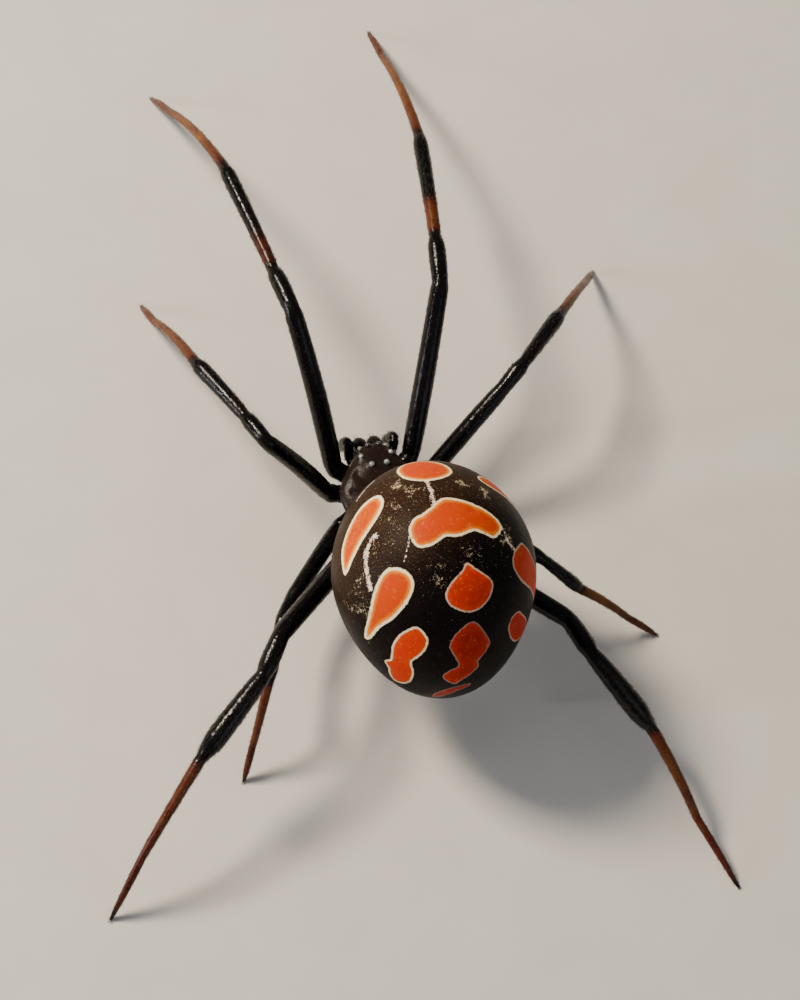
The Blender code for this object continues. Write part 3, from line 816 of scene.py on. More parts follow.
@dataclass
class SetaeCoat:
    """Grows bristles on a skin with one Geometry Nodes tree and keeps them as a mesh.

    hair_stations holds the height, radius and bend of the bristle's rings and
    hair_tip its tip's height and bend, all in lengths of the bristle. patch is the
    width of each bristle's own place on the UV map, and uneven the least and the
    greatest length in shares of the wanted one.
    """

    hair_stations: tuple = ((0.0, 0.040, 0.0), (0.38, 0.033, -0.03), (0.72, 0.020, -0.10))
    hair_tip: tuple[float, float] = (1.0, -0.20)
    hair_width: float = 0.08
    patch: float = 0.003
    uneven: tuple[float, float] = (0.6, 1.25)
    skin_layers: tuple[str, ...] = (
        "hair_density", "hair_length", "hair_lift", "hair_lie", "hair_patch", "SkinUV",
        "spot_edge", "spot_tint", "spot_border", "spot_rim", "pale_line", "shade", "flecks",
        "membrane")
    hair: bpy.types.Object = field(init=False)
    tree: bpy.types.NodeTree = field(init=False)

    def __post_init__(self) -> None:
        """Build the hair that is repeated and the tree that repeats it."""
        self.hair = self.make_hair()
        self.tree = self.make_tree()

    def make_hair(self) -> bpy.types.Object:
        """Make one three-sided bristle, 1 unit long, that stands up and bends towards -X.

        Returns:
            The bristle.
        """
        places, along = [], []
        for height, radius, bend in self.hair_stations:
            for corner in range(3):
                turn = corner / 3 * 2 * math.pi
                places.append((math.cos(turn) * radius + bend, math.sin(turn) * radius, height))
                along.append(height)
        places.append((self.hair_tip[1], 0.0, self.hair_tip[0]))
        along.append(1.0)
        faces = [(2, 1, 0)]
        for row in range(len(self.hair_stations) - 1):
            for corner in range(3):
                after = (corner + 1) % 3
                faces.append((row * 3 + corner, row * 3 + after, row * 3 + 3 + after,
                              row * 3 + 3 + corner))
        top = (len(self.hair_stations) - 1) * 3
        faces += [(top + corner, top + (corner + 1) % 3, top + 3) for corner in range(3)]
        mesh = bpy.data.meshes.new("hair_pattern")
        mesh.from_pydata(places, [], faces)
        layer = mesh.attributes.new("hair_along", "FLOAT", "POINT")
        layer.data.foreach_set("value", along)
        layer = mesh.attributes.new("hair_patch", "FLOAT_VECTOR", "POINT")
        chart = [(place[1] / self.hair_width, place[2] - 0.5, 0.0) for place in places]
        layer.data.foreach_set("vector", np.array(chart, np.float32).ravel())
        mesh.shade_smooth()
        hair = bpy.data.objects.new("hair_pattern", mesh)
        bpy.context.scene.collection.objects.link(hair)
        return hair

    def make_tree(self) -> bpy.types.NodeTree:
        """Build the tree that scatters, turns, sizes and joins the bristles.

        Returns:
            The tree.
        """
        tree = bpy.data.node_groups.new("setae", "GeometryNodeTree")
        face = tree.interface
        face.new_socket("Geometry", in_out="INPUT", socket_type="NodeSocketGeometry")
        for name, kind in (("Hair", "Object"), ("Material", "Material"), ("Density", "Float"),
                           ("Length", "Float"), ("Scatter", "Float"), ("Seed", "Int")):
            face.new_socket(name, in_out="INPUT", socket_type="NodeSocket" + kind)
        face.new_socket("Geometry", in_out="OUTPUT", socket_type="NodeSocketGeometry")
        given = add_node(tree, "NodeGroupInput").node.outputs
        read = {}
        for name, kind in (("hair_density", "FLOAT"), ("hair_length", "FLOAT"),
                           ("hair_lift", "FLOAT"), ("hair_lie", "FLOAT_VECTOR")):
            read[name] = add_node(tree, "GeometryNodeInputNamedAttribute",
                                  {"data_type": kind}, {"Name": name})
        density = add_node(tree, "ShaderNodeMath", {"operation": "MULTIPLY"}, {
            0: read["hair_density"], 1: given["Density"]})
        density = add_node(tree, "ShaderNodeMath", {"operation": "MULTIPLY"}, {
            0: density, 1: 1 / MM ** 2})
        points = add_node(tree, "GeometryNodeDistributePointsOnFaces", None, {
            "Mesh": given["Geometry"], "Density": density, "Seed": given["Seed"]})
        normal = points.node.outputs["Normal"]
        jitter = add_node(tree, "FunctionNodeRandomValue", {"data_type": "FLOAT_VECTOR"}, {
            "Min": (-1.0, -1.0, -1.0), "Max": (1.0, 1.0, 1.0), "Seed": given["Seed"]})
        jitter = add_node(tree, "ShaderNodeVectorMath", {"operation": "SCALE"}, {
            0: jitter, "Scale": given["Scatter"]})
        raised = add_node(tree, "ShaderNodeVectorMath", {"operation": "SCALE"}, {
            0: normal, "Scale": read["hair_lift"]})
        lean = add_node(tree, "ShaderNodeVectorMath", {"operation": "ADD"}, {
            0: read["hair_lie"], 1: raised})
        lean = add_node(tree, "ShaderNodeVectorMath", {"operation": "ADD"}, {0: lean, 1: jitter})
        turn = add_node(tree, "FunctionNodeAlignRotationToVector", {"axis": "Z"}, {
            "Vector": lean})
        turn = add_node(tree, "FunctionNodeAlignRotationToVector",
                        {"axis": "X", "pivot_axis": "Z"}, {"Rotation": turn, "Vector": normal})
        spread = add_node(tree, "FunctionNodeRandomValue", {"data_type": "FLOAT"}, {
            "Min_001": self.uneven[0] * MM, "Max_001": self.uneven[1] * MM,
            "Seed": given["Seed"]})
        length = add_node(tree, "ShaderNodeMath", {"operation": "MULTIPLY"}, {
            0: read["hair_length"], 1: spread})
        length = add_node(tree, "ShaderNodeMath", {"operation": "MULTIPLY"}, {
            0: length, 1: given["Length"]})
        pattern = add_node(tree, "GeometryNodeObjectInfo", None, {"Object": given["Hair"]})
        pattern = pattern.node.outputs["Geometry"]
        hairs = add_node(tree, "GeometryNodeInstanceOnPoints", None, {
            "Points": points, "Instance": pattern, "Rotation": turn, "Scale": length})
        mesh = add_node(tree, "GeometryNodeRealizeInstances", None, {"Geometry": hairs})
        root = add_node(tree, "GeometryNodeInputNamedAttribute",
                        {"data_type": "FLOAT_VECTOR"}, {"Name": "SkinUV"})
        local = add_node(tree, "GeometryNodeInputNamedAttribute",
                         {"data_type": "FLOAT_VECTOR"}, {"Name": "hair_patch"})
        local = add_node(tree, "ShaderNodeVectorMath", {"operation": "SCALE"}, {
            0: local, "Scale": self.patch})
        patch = add_node(tree, "ShaderNodeVectorMath", {"operation": "ADD"}, {
            0: root, 1: local})
        mesh = add_node(tree, "GeometryNodeStoreNamedAttribute",
                        {"data_type": "FLOAT2", "domain": "CORNER"},
                        {"Geometry": mesh, "Name": "OFBake", "Value": patch})
        mesh = add_node(tree, "GeometryNodeSetMaterial", None, {
            "Geometry": mesh, "Material": given["Material"]})
        add_node(tree, "NodeGroupOutput", None, {"Geometry": mesh})
        return tree

    def grow(self, skin: bpy.types.Object, name: str, material: bpy.types.Material,
             scatter: float = 0.25, seed: int = 1) -> bpy.types.Object:
        """Grow one coat on a skin that carries the hair_ attributes.

        Args:
            skin: the piece that the bristles stand on.
            name: the coat's name.
            material: the bristles' finish.
            scatter: how far each bristle may turn from its lie.
            seed: fixes the random draw.

        Returns:
            The coat as a piece of its own.
        """
        carrier = bpy.data.objects.new(name + "_carrier", skin.data.copy())
        bpy.context.scene.collection.objects.link(carrier)
        grown = carrier.modifiers.new("Setae", "NODES")
        grown.node_group = self.tree
        wanted = {"Hair": self.hair, "Material": material, "Density": 1.0,
                  "Length": 1.0, "Scatter": scatter, "Seed": seed}
        for item in self.tree.interface.items_tree:
            if item.item_type == "SOCKET" and item.in_out == "INPUT" and item.name in wanted:
                grown[item.identifier] = wanted[item.name]
        graph = bpy.context.evaluated_depsgraph_get()
        mesh = bpy.data.meshes.new_from_object(
            carrier.evaluated_get(graph), preserve_all_data_layers=True, depsgraph=graph)
        carrier.modifiers.remove(grown)
        bpy.data.objects.remove(carrier, do_unlink=True)
        for spare in self.skin_layers:
            layer = mesh.attributes.get(spare)
            if layer is not None:
                mesh.attributes.remove(layer)
        return finished(mesh, name, material)

    def clear(self) -> None:
        """Remove the pattern hair, which is no piece of the spider."""
        bpy.data.objects.remove(self.hair, do_unlink=True)


def joined(parts: Sequence[bpy.types.Mesh], name: str) -> bpy.types.Mesh:
    """Join meshes of several closed parts to one.

    Args:
        parts: the meshes, which are used up.
        name: the new mesh's name.

    Returns:
        The joined mesh.
    """
    body = bmesh.new()
    for part in parts:
        body.from_mesh(part)
        bpy.data.meshes.remove(part)
    mesh = bpy.data.meshes.new(name)
    body.to_mesh(mesh)
    body.free()
    mesh.shade_smooth()
    return mesh


def waves(places: Points, size: float, seed: int) -> Points:
    """Return a soft random field of about the range -2 to 2.

    Args:
        places: where to read it, in millimetres.
        size: the size of its blobs, in millimetres.
        seed: fixes its draw.

    Returns:
        The field at each place.
    """
    count = 14
    draw = np.random.default_rng(seed)
    ways = unit_rows(draw.normal(size=(count, 3))) * draw.uniform(0.7, 1.3, (count, 1))
    phases = draw.uniform(0, 2 * math.pi, count)
    return np.sin(places @ ways.T * math.pi / size + phases).sum(-1) / math.sqrt(count / 2)


@dataclass(frozen=True)
class Spot:
    """One pigment spot.

    outline holds degrees on the abdomen: first from the top over the rear, then
    from the middle line to the left. tint runs from deep red at 0 to yellowish
    orange at 1, border is half the pale rim's width in millimetres, and rim runs
    from yellowish cream at 0 to greyish pink at 1.
    """

    name: str
    outline: Pairs
    tint: float
    border: float
    rim: float


SPOTS = (
    Spot("front_band", ((-71, 15), (-79, 9), (-78, 1), (-72, -6), (-64, -11), (-56, -11),
         (-51, -5), (-50, 3), (-53, 10), (-60, 15)), 0.68, 0.055, 0.1),
    Spot("shoulder_crescent", ((-22, 23), (-16, 22.5), (-12.5, 20), (-12, 14), (-13.5, 9),
         (-15, 5), (-14, -1), (-15, -7), (-16, -12), (-14, -18), (-12, -23), (-15, -28),
         (-19, -30), (-23, -28), (-27, -23), (-30, -17), (-33, -9), (-35, -1), (-34, 3), (-31, 8),
         (-29, 13), (-28, 18), (-25, 21.5)), 0.69, 0.052, 0.2),
    Spot("middle_round", ((0, -3.5), (3, -1), (7, 5), (11, 9), (15, 10), (19, 7), (22.5, -2),
         (21.5, -10), (17, -16), (11, -18), (7, -14), (3, -8)), 0.44, 0.038, 0.6),
    Spot("rear_wedge", ((28, -4), (31, -9), (41, -16), (46, -14.5), (51, -9), (55, -9.5),
         (59, -6), (63, 0), (66, 4), (63, 9.5), (59, 12), (55, 8), (52, 3), (45, 6), (40, 9),
         (34, 6.5), (30, 1)), 0.32, 0.032, 0.85),
    Spot("tail_bar", ((69, -6), (70, 3), (74, 10), (81, 14), (87, 13), (81, 7), (75, 1),
         (72, -5)), 0.12, 0.03, 0.95),
    Spot("left_front", ((-58, 33), (-53, 31.5), (-48, 32.5), (-43, 37), (-39, 44.5), (-35, 53),
         (-29.5, 62), (-24, 71), (-41, 70), (-54, 66), (-60, 58), (-62.5, 48), (-62, 40)), 0.80,
         0.074, 0.0),
    Spot("left_middle", ((-4, 42), (-4.5, 36.5), (-1.5, 31), (3, 28), (8, 28.5), (15, 33),
         (24, 41), (37, 52.5), (60, 61), (46, 61), (28, 57.5), (12, 53), (2, 48)), 0.70, 0.062,
         0.1),
    Spot("left_rear", ((30, 30), (31, 26), (36, 22.5), (42, 24), (48, 28), (54, 32), (62, 30),
         (72, 30.5), (80, 33), (86, 38), (80, 42.5), (73, 44), (68, 47), (60, 43.5), (47, 43),
         (36, 38)), 0.52, 0.046, 0.4),
    Spot("left_tail", ((112, 40), (118, 34), (126, 36), (131, 43), (125, 49), (116, 47)), 0.2,
         0.035, 0.9),
    Spot("right_front", ((-57, -28), (-53, -30), (-51, -37), (-52, -47), (-52, -57), (-58, -63),
         (-66, -57), (-69, -45), (-64, -33)), 0.66, 0.045, 0.15),
    Spot("right_middle", ((-10, -47), (-8, -43), (-3, -37), (3, -35), (8, -37), (14, -42),
         (25, -54), (40, -62), (54, -67), (46, -69.5), (30, -71), (10, -65), (-4, -56)), 0.54,
         0.042, 0.6),
    Spot("right_rear", ((34, -40), (33.5, -35), (38, -31), (46, -33), (56, -39), (66, -50),
         (58, -52.5), (48, -50), (40, -45)), 0.32, 0.036, 0.7),
    Spot("right_tail", ((112, -40), (118, -34), (126, -37), (130, -44), (124, -49), (116, -47)),
         0.2, 0.035, 0.9),
    Spot("hourglass", ((196, -2), (195, -9), (190, -11), (184, -8), (178, -3.5), (171, -7),
         (163, -12), (156, -9), (154, 0), (156, 9), (163, 12), (171, 7), (178, 3.5), (184, 8),
         (190, 11), (195, 9), (196, 2)), 0.30, 0.03, 0.9),
)

# Ragged pale lines, in the same degrees: half their width in millimetres, then their course.
PALE_LINES = (
    (0.055, ((-50, 5), (-42, 5), (-36, 6), (-31, 6))),
    (0.075, ((-30, 42), (-29, 46), (-24, 50), (-16, 53), (-4, 54), (6, 54))),
    (0.050, ((-19, -30), (-14, -32), (-8, -34.5), (-5, -38))),
    (0.026, ((-19, 24), (-13, 27), (-7, 30))),
    (0.045, ((-82, 27), (-82, 34), (-80, 41))),
)

# Clumps of pale hair, whose paleness and flecks are partly a painted glint: degrees along,
# degrees across, reach in degrees, strength.
HAIR_PATCHES = ((-57, 21, 6, 0.9), (-46, 14, 6, 0.6), (-39, 30, 7, 0.7), (-22, 32, 7, 0.4),
                (3, 12, 5, 1.0), (-46, -14, 4, 0.8), (-42, -27, 5, 0.9), (-3, -6, 6, 0.5),
                (-12, -33, 6, 1.0), (-4, 59, 6, 0.6), (34, 70, 13, 1.3), (14, 68, 9, 1.0),
                (-20, 44, 5, 0.5), (4, 48, 5, 0.4), (60, 60, 8, 0.5))


@dataclass
class Abdomen:
    """The globe of the abdomen with its pattern, waist and spinnerets.

    The angles of folds, lungs and plates are degrees from the top over the rear,
    then degrees to the left. dimples are where muscles hold the skin down. cones
    holds each spinneret's place across and back on the mound, its width at the
    foot and the tip, its length and how far it leans out.
    """

    centre: tuple[float, float, float] = (-0.30, 5.19, 6.56)
    half_width: float = 4.15
    half_length: float = 4.75
    half_height: float = 4.10
    tilt: float = math.radians(12)
    rear_narrowing: float = 0.10
    rear_drop: float = 0.45
    ring_count: int = 168
    side_count: int = 272
    spinneret_angle: float = 128.0
    dimples: Pairs = ((-28, 15), (-2, 19), (24, 20), (46, 17))
    dimple_width: float = 2.2
    dimple_depth: float = 0.045
    lung: tuple[float, float] = (207.0, 20.0)
    middle_cones: tuple = ((0.0, 0.0, 0.58, 0.44, 0.22, 0.0), (0.0, 0.46, 0.21, 0.10, 0.50, -0.1),
                           (0.0, -0.42, 0.09, 0.03, 0.42, 0.0))
    paired_cones: tuple = ((0.21, -0.16, 0.24, 0.13, 0.78, 0.10),
                           (0.22, 0.20, 0.20, 0.10, 0.74, 0.12),
                           (0.09, 0.03, 0.12, 0.06, 0.56, 0.05))

    def place(self, unit: Points) -> Points:
        """Map points of the unit sphere to the abdomen.

        Args:
            unit: rows of unit vectors, rear towards +Y.

        Returns:
            Places in millimetres.
        """
        rear = smoothstep(-0.3, 1.0, unit[..., 1])
        narrow = 1.0 - self.rear_narrowing * rear
        across = unit[..., 0] * self.half_width * narrow
        along = unit[..., 1] * self.half_length
        up = unit[..., 2] * self.half_height * narrow - self.rear_drop * rear * rear
        cosine, sine = math.cos(-self.tilt), math.sin(-self.tilt)
        turned = np.stack([across, along * cosine - up * sine, along * sine + up * cosine], -1)
        return turned + self.centre

    @staticmethod
    def unit(along: Points, across: Points) -> Points:
        """Turn angles from the top over the rear, and to the left, to unit vectors."""
        return np.stack([np.sin(across), np.cos(across) * np.sin(along),
                         np.cos(across) * np.cos(along)], -1)

    def normal(self, unit: Points) -> Points:
        """Find the outward normals.

        Args:
            unit: rows of unit vectors, as in place.

        Returns:
            The unit normal at the place of each.
        """
        step = 0.01
        helper = np.where(np.abs(unit[..., 1:2]) < 0.9, (0.0, 1.0, 0.0), (0.0, 0.0, 1.0))
        first = unit_rows(np.cross(unit, helper))
        second = np.cross(unit, first)
        slopes = [self.place(unit_rows(unit + way * step))
                  - self.place(unit_rows(unit - way * step)) for way in (first, second)]
        return unit_rows(np.cross(*slopes))

    def spot_values(self, along: Points, across: Points, places: Points) -> dict[str, Points]:
        """Measure how deep each point lies in the nearest spot.

        Args:
            along: the points' degrees from the top over the rear.
            across: their degrees to the left.
            places: where they are, in millimetres.

        Returns:
            The depth inside in millimetres, negative outside, with the spot's tint,
            its border's half width and the border's tint.
        """
        depth = np.full(along.shape, -2.0)
        tint, border, rim = (np.full(along.shape, value) for value in (0.5, 0.05, 0.5))
        for spot in SPOTS:
            line = catmull(np.array(spot.outline, float), 6, closed=True)
            solid = self.place(self.unit(*np.radians(line).T))
            middle = solid.mean(0)
            reach = np.linalg.norm(solid - middle, axis=1).max() + 1.0
            near = np.linalg.norm(places - middle, axis=1) < reach
            spots = places[near]
            distance = distance_to_line(spots, np.concatenate([solid, solid[:1]]))
            shifted = along[near] + np.where(along[near] < line[:, 0].mean() - 180, 360, 0)
            sign = np.where(inside(shifted, across[near], line), 1.0, -1.0)
            value = distance * sign
            better = value > depth[near]
            rows = np.flatnonzero(near)[better]
            depth[rows] = value[better]
            tint[rows] = spot.tint
            border[rows] = spot.border
            rim[rows] = spot.rim
        return {"spot_edge": np.clip(depth, -0.6, 0.6), "spot_tint": tint,
                "spot_border": border, "spot_rim": rim}

    def relief(self, along: Points, across: Points) -> Points:
        """Return the height of folds, pits and plates, in millimetres.

        Args:
            along: degrees from the top over the rear.
            across: degrees to the left.

        Returns:
            How far each point stands out.
        """
        height = np.zeros_like(along)
        for at, side in self.dimples:
            for sign in (1, -1):
                offset = (along - at) ** 2 + (across - sign * side) ** 2
                height -= self.dimple_depth * np.exp(-offset / self.dimple_width ** 2)
        under = np.where(along < -90, along + 360, along)
        flank = np.cos(np.radians(across))
        ripple = np.sin(np.radians(along * 9 + 14 * np.sin(np.radians(across * 3))))
        height += 0.010 * ripple * smoothstep(60, 110, under) * smoothstep(250, 190, under) * flank
        mound = np.exp(-((under - self.spinneret_angle) ** 2 + across ** 2) / 15 ** 2)
        height += 0.06 * mound
        # The furrow that the lungs open to, their covers, and the plate between them.
        furrow = np.exp(-((under - 199 + 0.004 * across ** 2) / 1.3) ** 2)
        height -= 0.05 * furrow * smoothstep(40, 26, np.abs(across))
        for sign in (-1, 1):
            lung = (((under - self.lung[0]) / 8.5) ** 2
                    + ((across - sign * self.lung[1]) / 10.0) ** 2)
            height += 0.05 * smoothstep(1.15, 0.75, lung)
        plate = ((under - 202) / 4.0) ** 2 + (across / 6.0) ** 2
        height += 0.06 * smoothstep(1.3, 0.5, plate)
        return height

    def skin(self) -> Skin:
        """Make the skin, its poles at the front and the rear end.

        Returns:
            The skin with all that its pattern and hairs read.
        """
        unit = globe(self.ring_count, self.side_count)
        flat = unit.reshape(-1, 3)
        along = np.degrees(np.arctan2(flat[:, 1], flat[:, 2]))
        across = np.degrees(np.arcsin(np.clip(flat[:, 0], -1, 1)))
        bare = self.place(flat)
        normal = self.normal(flat)
        places = bare + normal * self.relief(along, across)[:, None]
        pale = np.full(along.shape, 6.0)
        for width, line in PALE_LINES:
            curve = catmull(np.array(line, float), 6)
            solid = self.place(self.unit(*np.radians(curve).T))
            pale = np.minimum(pale, distance_to_line(bare, solid) / width)
        shape = unit.shape[:2]
        rearward = self.place(unit_rows(flat + (0.0, 0.02, 0.0))) - bare
        lie = unit_rows(rearward - normal * np.einsum("ij,ij->i", rearward, normal)[:, None]
                        + (0.0, 1e-7, 0.0))
        patches = np.zeros_like(along)
        for at, side, wide, extra in HAIR_PATCHES:
            offset = ((along - at) ** 2 + (across - side) ** 2) / wide ** 2
            patches += extra * np.exp(-offset)
        clumps = patches * smoothstep(0.1, 0.9, waves(bare, 0.55, 11)) * smoothstep(
            -0.4, 0.6, waves(bare, 0.24, 12))
        values = self.spot_values(along, across, bare)
        # The ground is painted brown on the front and the left, as painted light, and black
        # behind and underneath, as painted shade; both are partly the skin's own tone.
        values |= {
            # flecks paints the glint of the pale hair clumps, fading out behind.
            "flecks": np.clip(1.5 * patches, 0, 1.05) * smoothstep(
                -0.9, 0.7, waves(bare, 0.3, 11)) - 0.5 * smoothstep(0, 50, along),
            "pale_line": pale,
            "shade": np.maximum(smoothstep(-0.74, 0.08, flat[:, 1] - 0.45 * flat[:, 0]),
                                smoothstep(0.38, -0.26, flat[:, 2] + 0.34 * abs(flat[:, 0]))),
            "hair_density": 7.0 + 110.0 * clumps,
            "hair_length": 0.12 - 0.03 * np.clip(clumps, 0, 1),
            "hair_lift": np.full(along.shape, 0.6),
            # tan leaves the hairs pale in the clumps, partly as a painted glint.
            "tan": 1.0 - np.clip(clumps * 4, 0, 1),
        }
        values = {key: value.reshape(shape) for key, value in values.items()}
        values["hair_lie"] = lie.reshape(*shape, 3)
        poles = self.place(np.array([(0.0, -1.0, 0.0), (0.0, 1.0, 0.0)]))
        return Skin(places.reshape(*shape, 3), poles, values)

    def spinnerets(self) -> bpy.types.Mesh:
        """Make the three pairs of spinnerets on their mound, with the anal tubercle.

        Returns:
            Their mesh.
        """
        unit = self.unit(np.array([math.radians(self.spinneret_angle)]), np.array([0.0]))
        outward = self.normal(unit)[0]
        base = self.place(unit)[0]
        side = np.array((1.0, 0.0, 0.0))
        rear = unit_rows(np.cross(side, outward))
        if rear[1] < 0:
            rear = -rear
        sunk = 0.15
        cones = [(sign, *cone) for sign in (-1, 1) for cone in self.paired_cones]
        cones = [(1, *self.middle_cones[0])] + cones + [
            (1, *cone) for cone in self.middle_cones[1:]]
        meshes = []
        for sign, across, back, wide, tip, length, spread in cones:
            foot = base + side * sign * across + rear * back - outward * sunk
            lean = unit_rows(outward + side * sign * across * spread * 4 - rear * back * 0.25)
            share = np.linspace(0, 1, 16)
            path = foot + lean * (length + sunk) * share[:, None]
            radii = wide + (tip - wide) * smoothstep(0.25, 1.0, share)
            radii *= 1 - 0.10 * np.exp(-((share - 0.55) / 0.05) ** 2)
            piece, _ = rounded_tube(path, radii, 22, 0.2, 0.5)
            count = piece.rings.shape[:2]
            piece.values["tan"] = np.full(count, 0.2) + 0.6 * share[:, None]
            meshes.append(piece.mesh("cone"))
        return joined(meshes, "spinnerets")

    def waist(self) -> bpy.types.Mesh:
        """Make the pedicel between the two bodies.

        Returns:
            Its mesh.
        """
        front = np.array((0.0, 1.86, 2.72))
        rear = self.place(np.array((0.0, -0.38, -0.925))) + (0.0, 0.10, 0.14)
        share = np.linspace(0, 1, 30)
        path = front + (rear - front) * share[:, None]
        radii = 0.27 + 0.02 * np.cos(share * 4 * math.pi) - 0.03 * np.exp(
            -((share - 0.5) / 0.12) ** 2)
        piece, _ = rounded_tube(path, radii, 24)
        return piece.mesh("pedicel")


def distance_to_line(places: Points, line: Points) -> Points:
    """Return each place's distance to a line of short spans.

    Args:
        places: the points to judge.
        line: the line's corners, in order.

    Returns:
        The distances.
    """
    best = np.full(len(places), np.inf)
    for start, end in zip(line, line[1:]):
        span = end - start
        share = np.clip((places - start) @ span / max(span @ span, 1e-12), 0.0, 1.0)
        best = np.minimum(best, np.linalg.norm(places - start - share[:, None] * span, axis=1))
    return best


def inside(along: Points, across: Points, line: Points) -> Points:
    """Tell which points of a flat chart lie inside a closed line.

    Args:
        along: the points' first coordinate.
        across: their second one.
        line: the closed line's corners.

    Returns:
        True for each point inside.
    """
    hit = np.zeros(along.shape, bool)
    for start, end in zip(line, np.roll(line, -1, axis=0)):
        crosses = (start[1] > across) != (end[1] > across)
        slope = (end[0] - start[0]) / (end[1] - start[1]) if end[1] != start[1] else 0.0
        hit ^= crosses & (along < start[0] + (across - start[1]) * slope)
    return hit


@dataclass
class Prosoma:
    """The front body: carapace, eyes, jaws, feelers and the shield underneath.

    eye_places holds, in shares of the carapace, how far across and how high each
    eye of one side stands, then its radius in millimetres and whether it is
    pearly. furrows holds each one's two ends, its width and its depth.
    """

    height: float = 2.7
    half_width: float = 1.80
    half_length: float = 2.05
    shift: float = 0.10
    dome: float = 0.95
    underside: float = 0.10
    rim: float = 0.22
    eye_places: tuple = ((0.17, 0.40, 0.128, False), (0.40, 0.22, 0.105, True),
                         (0.22, 0.86, 0.128, True), (0.47, 0.55, 0.115, True))
    furrows: tuple = (((0.10, 0.12), (0.62, -0.34), 0.085, 0.07),
                      ((0.16, 0.22), (0.74, 0.02), 0.06, 0.04),
                      ((0.16, 0.34), (0.70, 0.42), 0.06, 0.04),
                      ((0.10, 0.44), (0.42, 0.76), 0.06, 0.035))

    def place(self, unit: Points) -> Points:
        """Map points of the unit sphere to the carapace.

        Args:
            unit: rows of unit vectors, with the head towards -Y.

        Returns:
            Places in millimetres.
        """
        x, y, z = unit[..., 0], unit[..., 1], unit[..., 2]
        head = smoothstep(-0.05, 0.75, -y)
        width = self.half_width * (1 - 0.36 * head)
        across = x * width * (1 + 0.18 * head * (1 - z * z))
        along = y * self.half_length - self.shift
        dome = self.dome * (0.86 + 0.14 * head) - self.rim
        pit = 0.16 * np.exp(-((x / 0.24) ** 2 + ((y - 0.28) / 0.26) ** 2))
        above = self.rim + dome * np.clip(z, 0, 1) ** 0.9 - pit
        for start, end, wide, deep in self.furrows:
            flat = np.stack([np.abs(x), y], -1).reshape(-1, 2)
            span = np.subtract(end, start)
            share = np.clip((flat - start) @ span / (span @ span), 0, 1)
            gap = np.linalg.norm(flat - start - share[:, None] * span, axis=1)
            above -= (deep * np.exp(-(gap / wide) ** 2)).reshape(x.shape)
        below = self.rim + z * (self.rim - self.underside)
        return np.stack([across, along, self.height + np.where(z < 0, below, above)], -1)

    def head_centre(self) -> Points:
        """Return the point that the eyes look away from."""
        return np.array((0.0, -0.6, self.height))

    def eye_units(self) -> list[tuple[float, Points, bool]]:
        """List the eight eyes.

        Returns:
            Each one's size, its place on the unit sphere and whether it is pearly.
        """
        units = []
        for across, height, size, pearly in self.eye_places:
            forward = math.sqrt(max(1 - across ** 2 - height ** 2, 0.0))
            for side in (-1, 1):
                units.append((size, np.array((side * across, -forward, height)), pearly))
        return units

    def carapace(self) -> Skin:
        """Make the carapace, with a low swelling under each eye.

        Returns:
            Its skin.
        """
        unit = globe(100, 132)
        places = self.place(unit)
        centre = self.head_centre()
        for size, eye, _ in self.eye_units():
            middle = self.place(eye[None])[0]
            gap = np.linalg.norm(places - middle, axis=-1)
            swell = 0.55 * size * np.exp(-(gap / (size * 1.5)) ** 2)
            places += unit_rows(places - centre) * swell[..., None]
        shape = unit.shape[:2]
        head = smoothstep(0.2, 0.9, -unit[..., 1])
        spread = np.stack([places[..., 0] * 0.6, -np.ones(shape), np.zeros(shape)], -1)
        # flank marks a patch of pale hair on each rear flank, whose paleness is partly a painted
        # glint.
        flank = np.exp(-((np.abs(unit[..., 0]) - 0.72) / 0.16) ** 2
                       - ((unit[..., 1] - 0.42) / 0.22) ** 2)
        flank = flank * smoothstep(-0.2, 0.8, waves(places, 0.3, 21))
        values = {
            "tan": np.clip(1.0 - 3.0 * flank, 0.15 * head, 0.6),
            "hair_density": np.where(unit[..., 2] > 0.05, 4.0 + 6.0 * head + 34.0 * flank, 0.0),
            "hair_length": 0.12 + 0.05 * head,
            "hair_lift": np.full(shape, 0.6),
            "hair_lie": unit_rows(spread),
        }
        poles = self.place(np.array([(0.0, -1.0, 0.0), (0.0, 1.0, 0.0)]))
        return Skin(places, poles, values)

    def eyes(self, pearly: bool) -> bpy.types.Mesh:
        """Return the lenses of one kind.

        Args:
            pearly: whether they are the six pale ones, or else the two dark ones.

        Returns:
            Their mesh.
        """
        lenses = []
        centre = self.head_centre()
        for size, eye, kind in self.eye_units():
            if kind is not pearly:
                continue
            middle = self.place(eye[None])[0]
            outward = unit_rows(middle - centre)
            share = np.linspace(-0.6, 0.98, 10)
            path = middle + outward * (size * (0.42 + share[:, None] * 0.95))
            radii = size * np.sqrt(np.clip(1 - share ** 2, 0.0, 1.0))
            lens, _ = rounded_tube(path, radii, 20, 0.05, 0.05)
            lenses.append(lens.mesh("lens"))
        return joined(lenses, "lenses")

    def sternum(self) -> Skin:
        """Make the shield under the front body, pointed behind and notched at each leg.

        Returns:
            Its skin.
        """
        half_width, half_length, half_thickness = 0.74, 1.50, 0.45
        level = self.height - 0.57
        x, y, z = np.moveaxis(globe(48, 56), -1, 0)
        taper = 1 - 0.38 * smoothstep(-0.2, 1.0, y)
        scallop = 1 - 0.05 * np.cos(y * 3.6 * math.pi)
        places = np.stack([x * half_width * taper * scallop, y * half_length - self.shift,
                           level + z * half_thickness], -1)
        shape = x.shape
        values = {
            "tan": np.full(shape, 0.2), "hair_length": np.full(shape, 0.22),
            "hair_density": np.where(z < -0.2, 22.0, 0.0), "hair_lift": np.full(shape, 0.9),
            "hair_lie": np.tile((0.0, 1.0, 0.0), (*shape, 1)),
        }
        poles = np.array([(0.0, way * half_length - self.shift, level) for way in (-1, 1)])
        return Skin(places, poles, values)

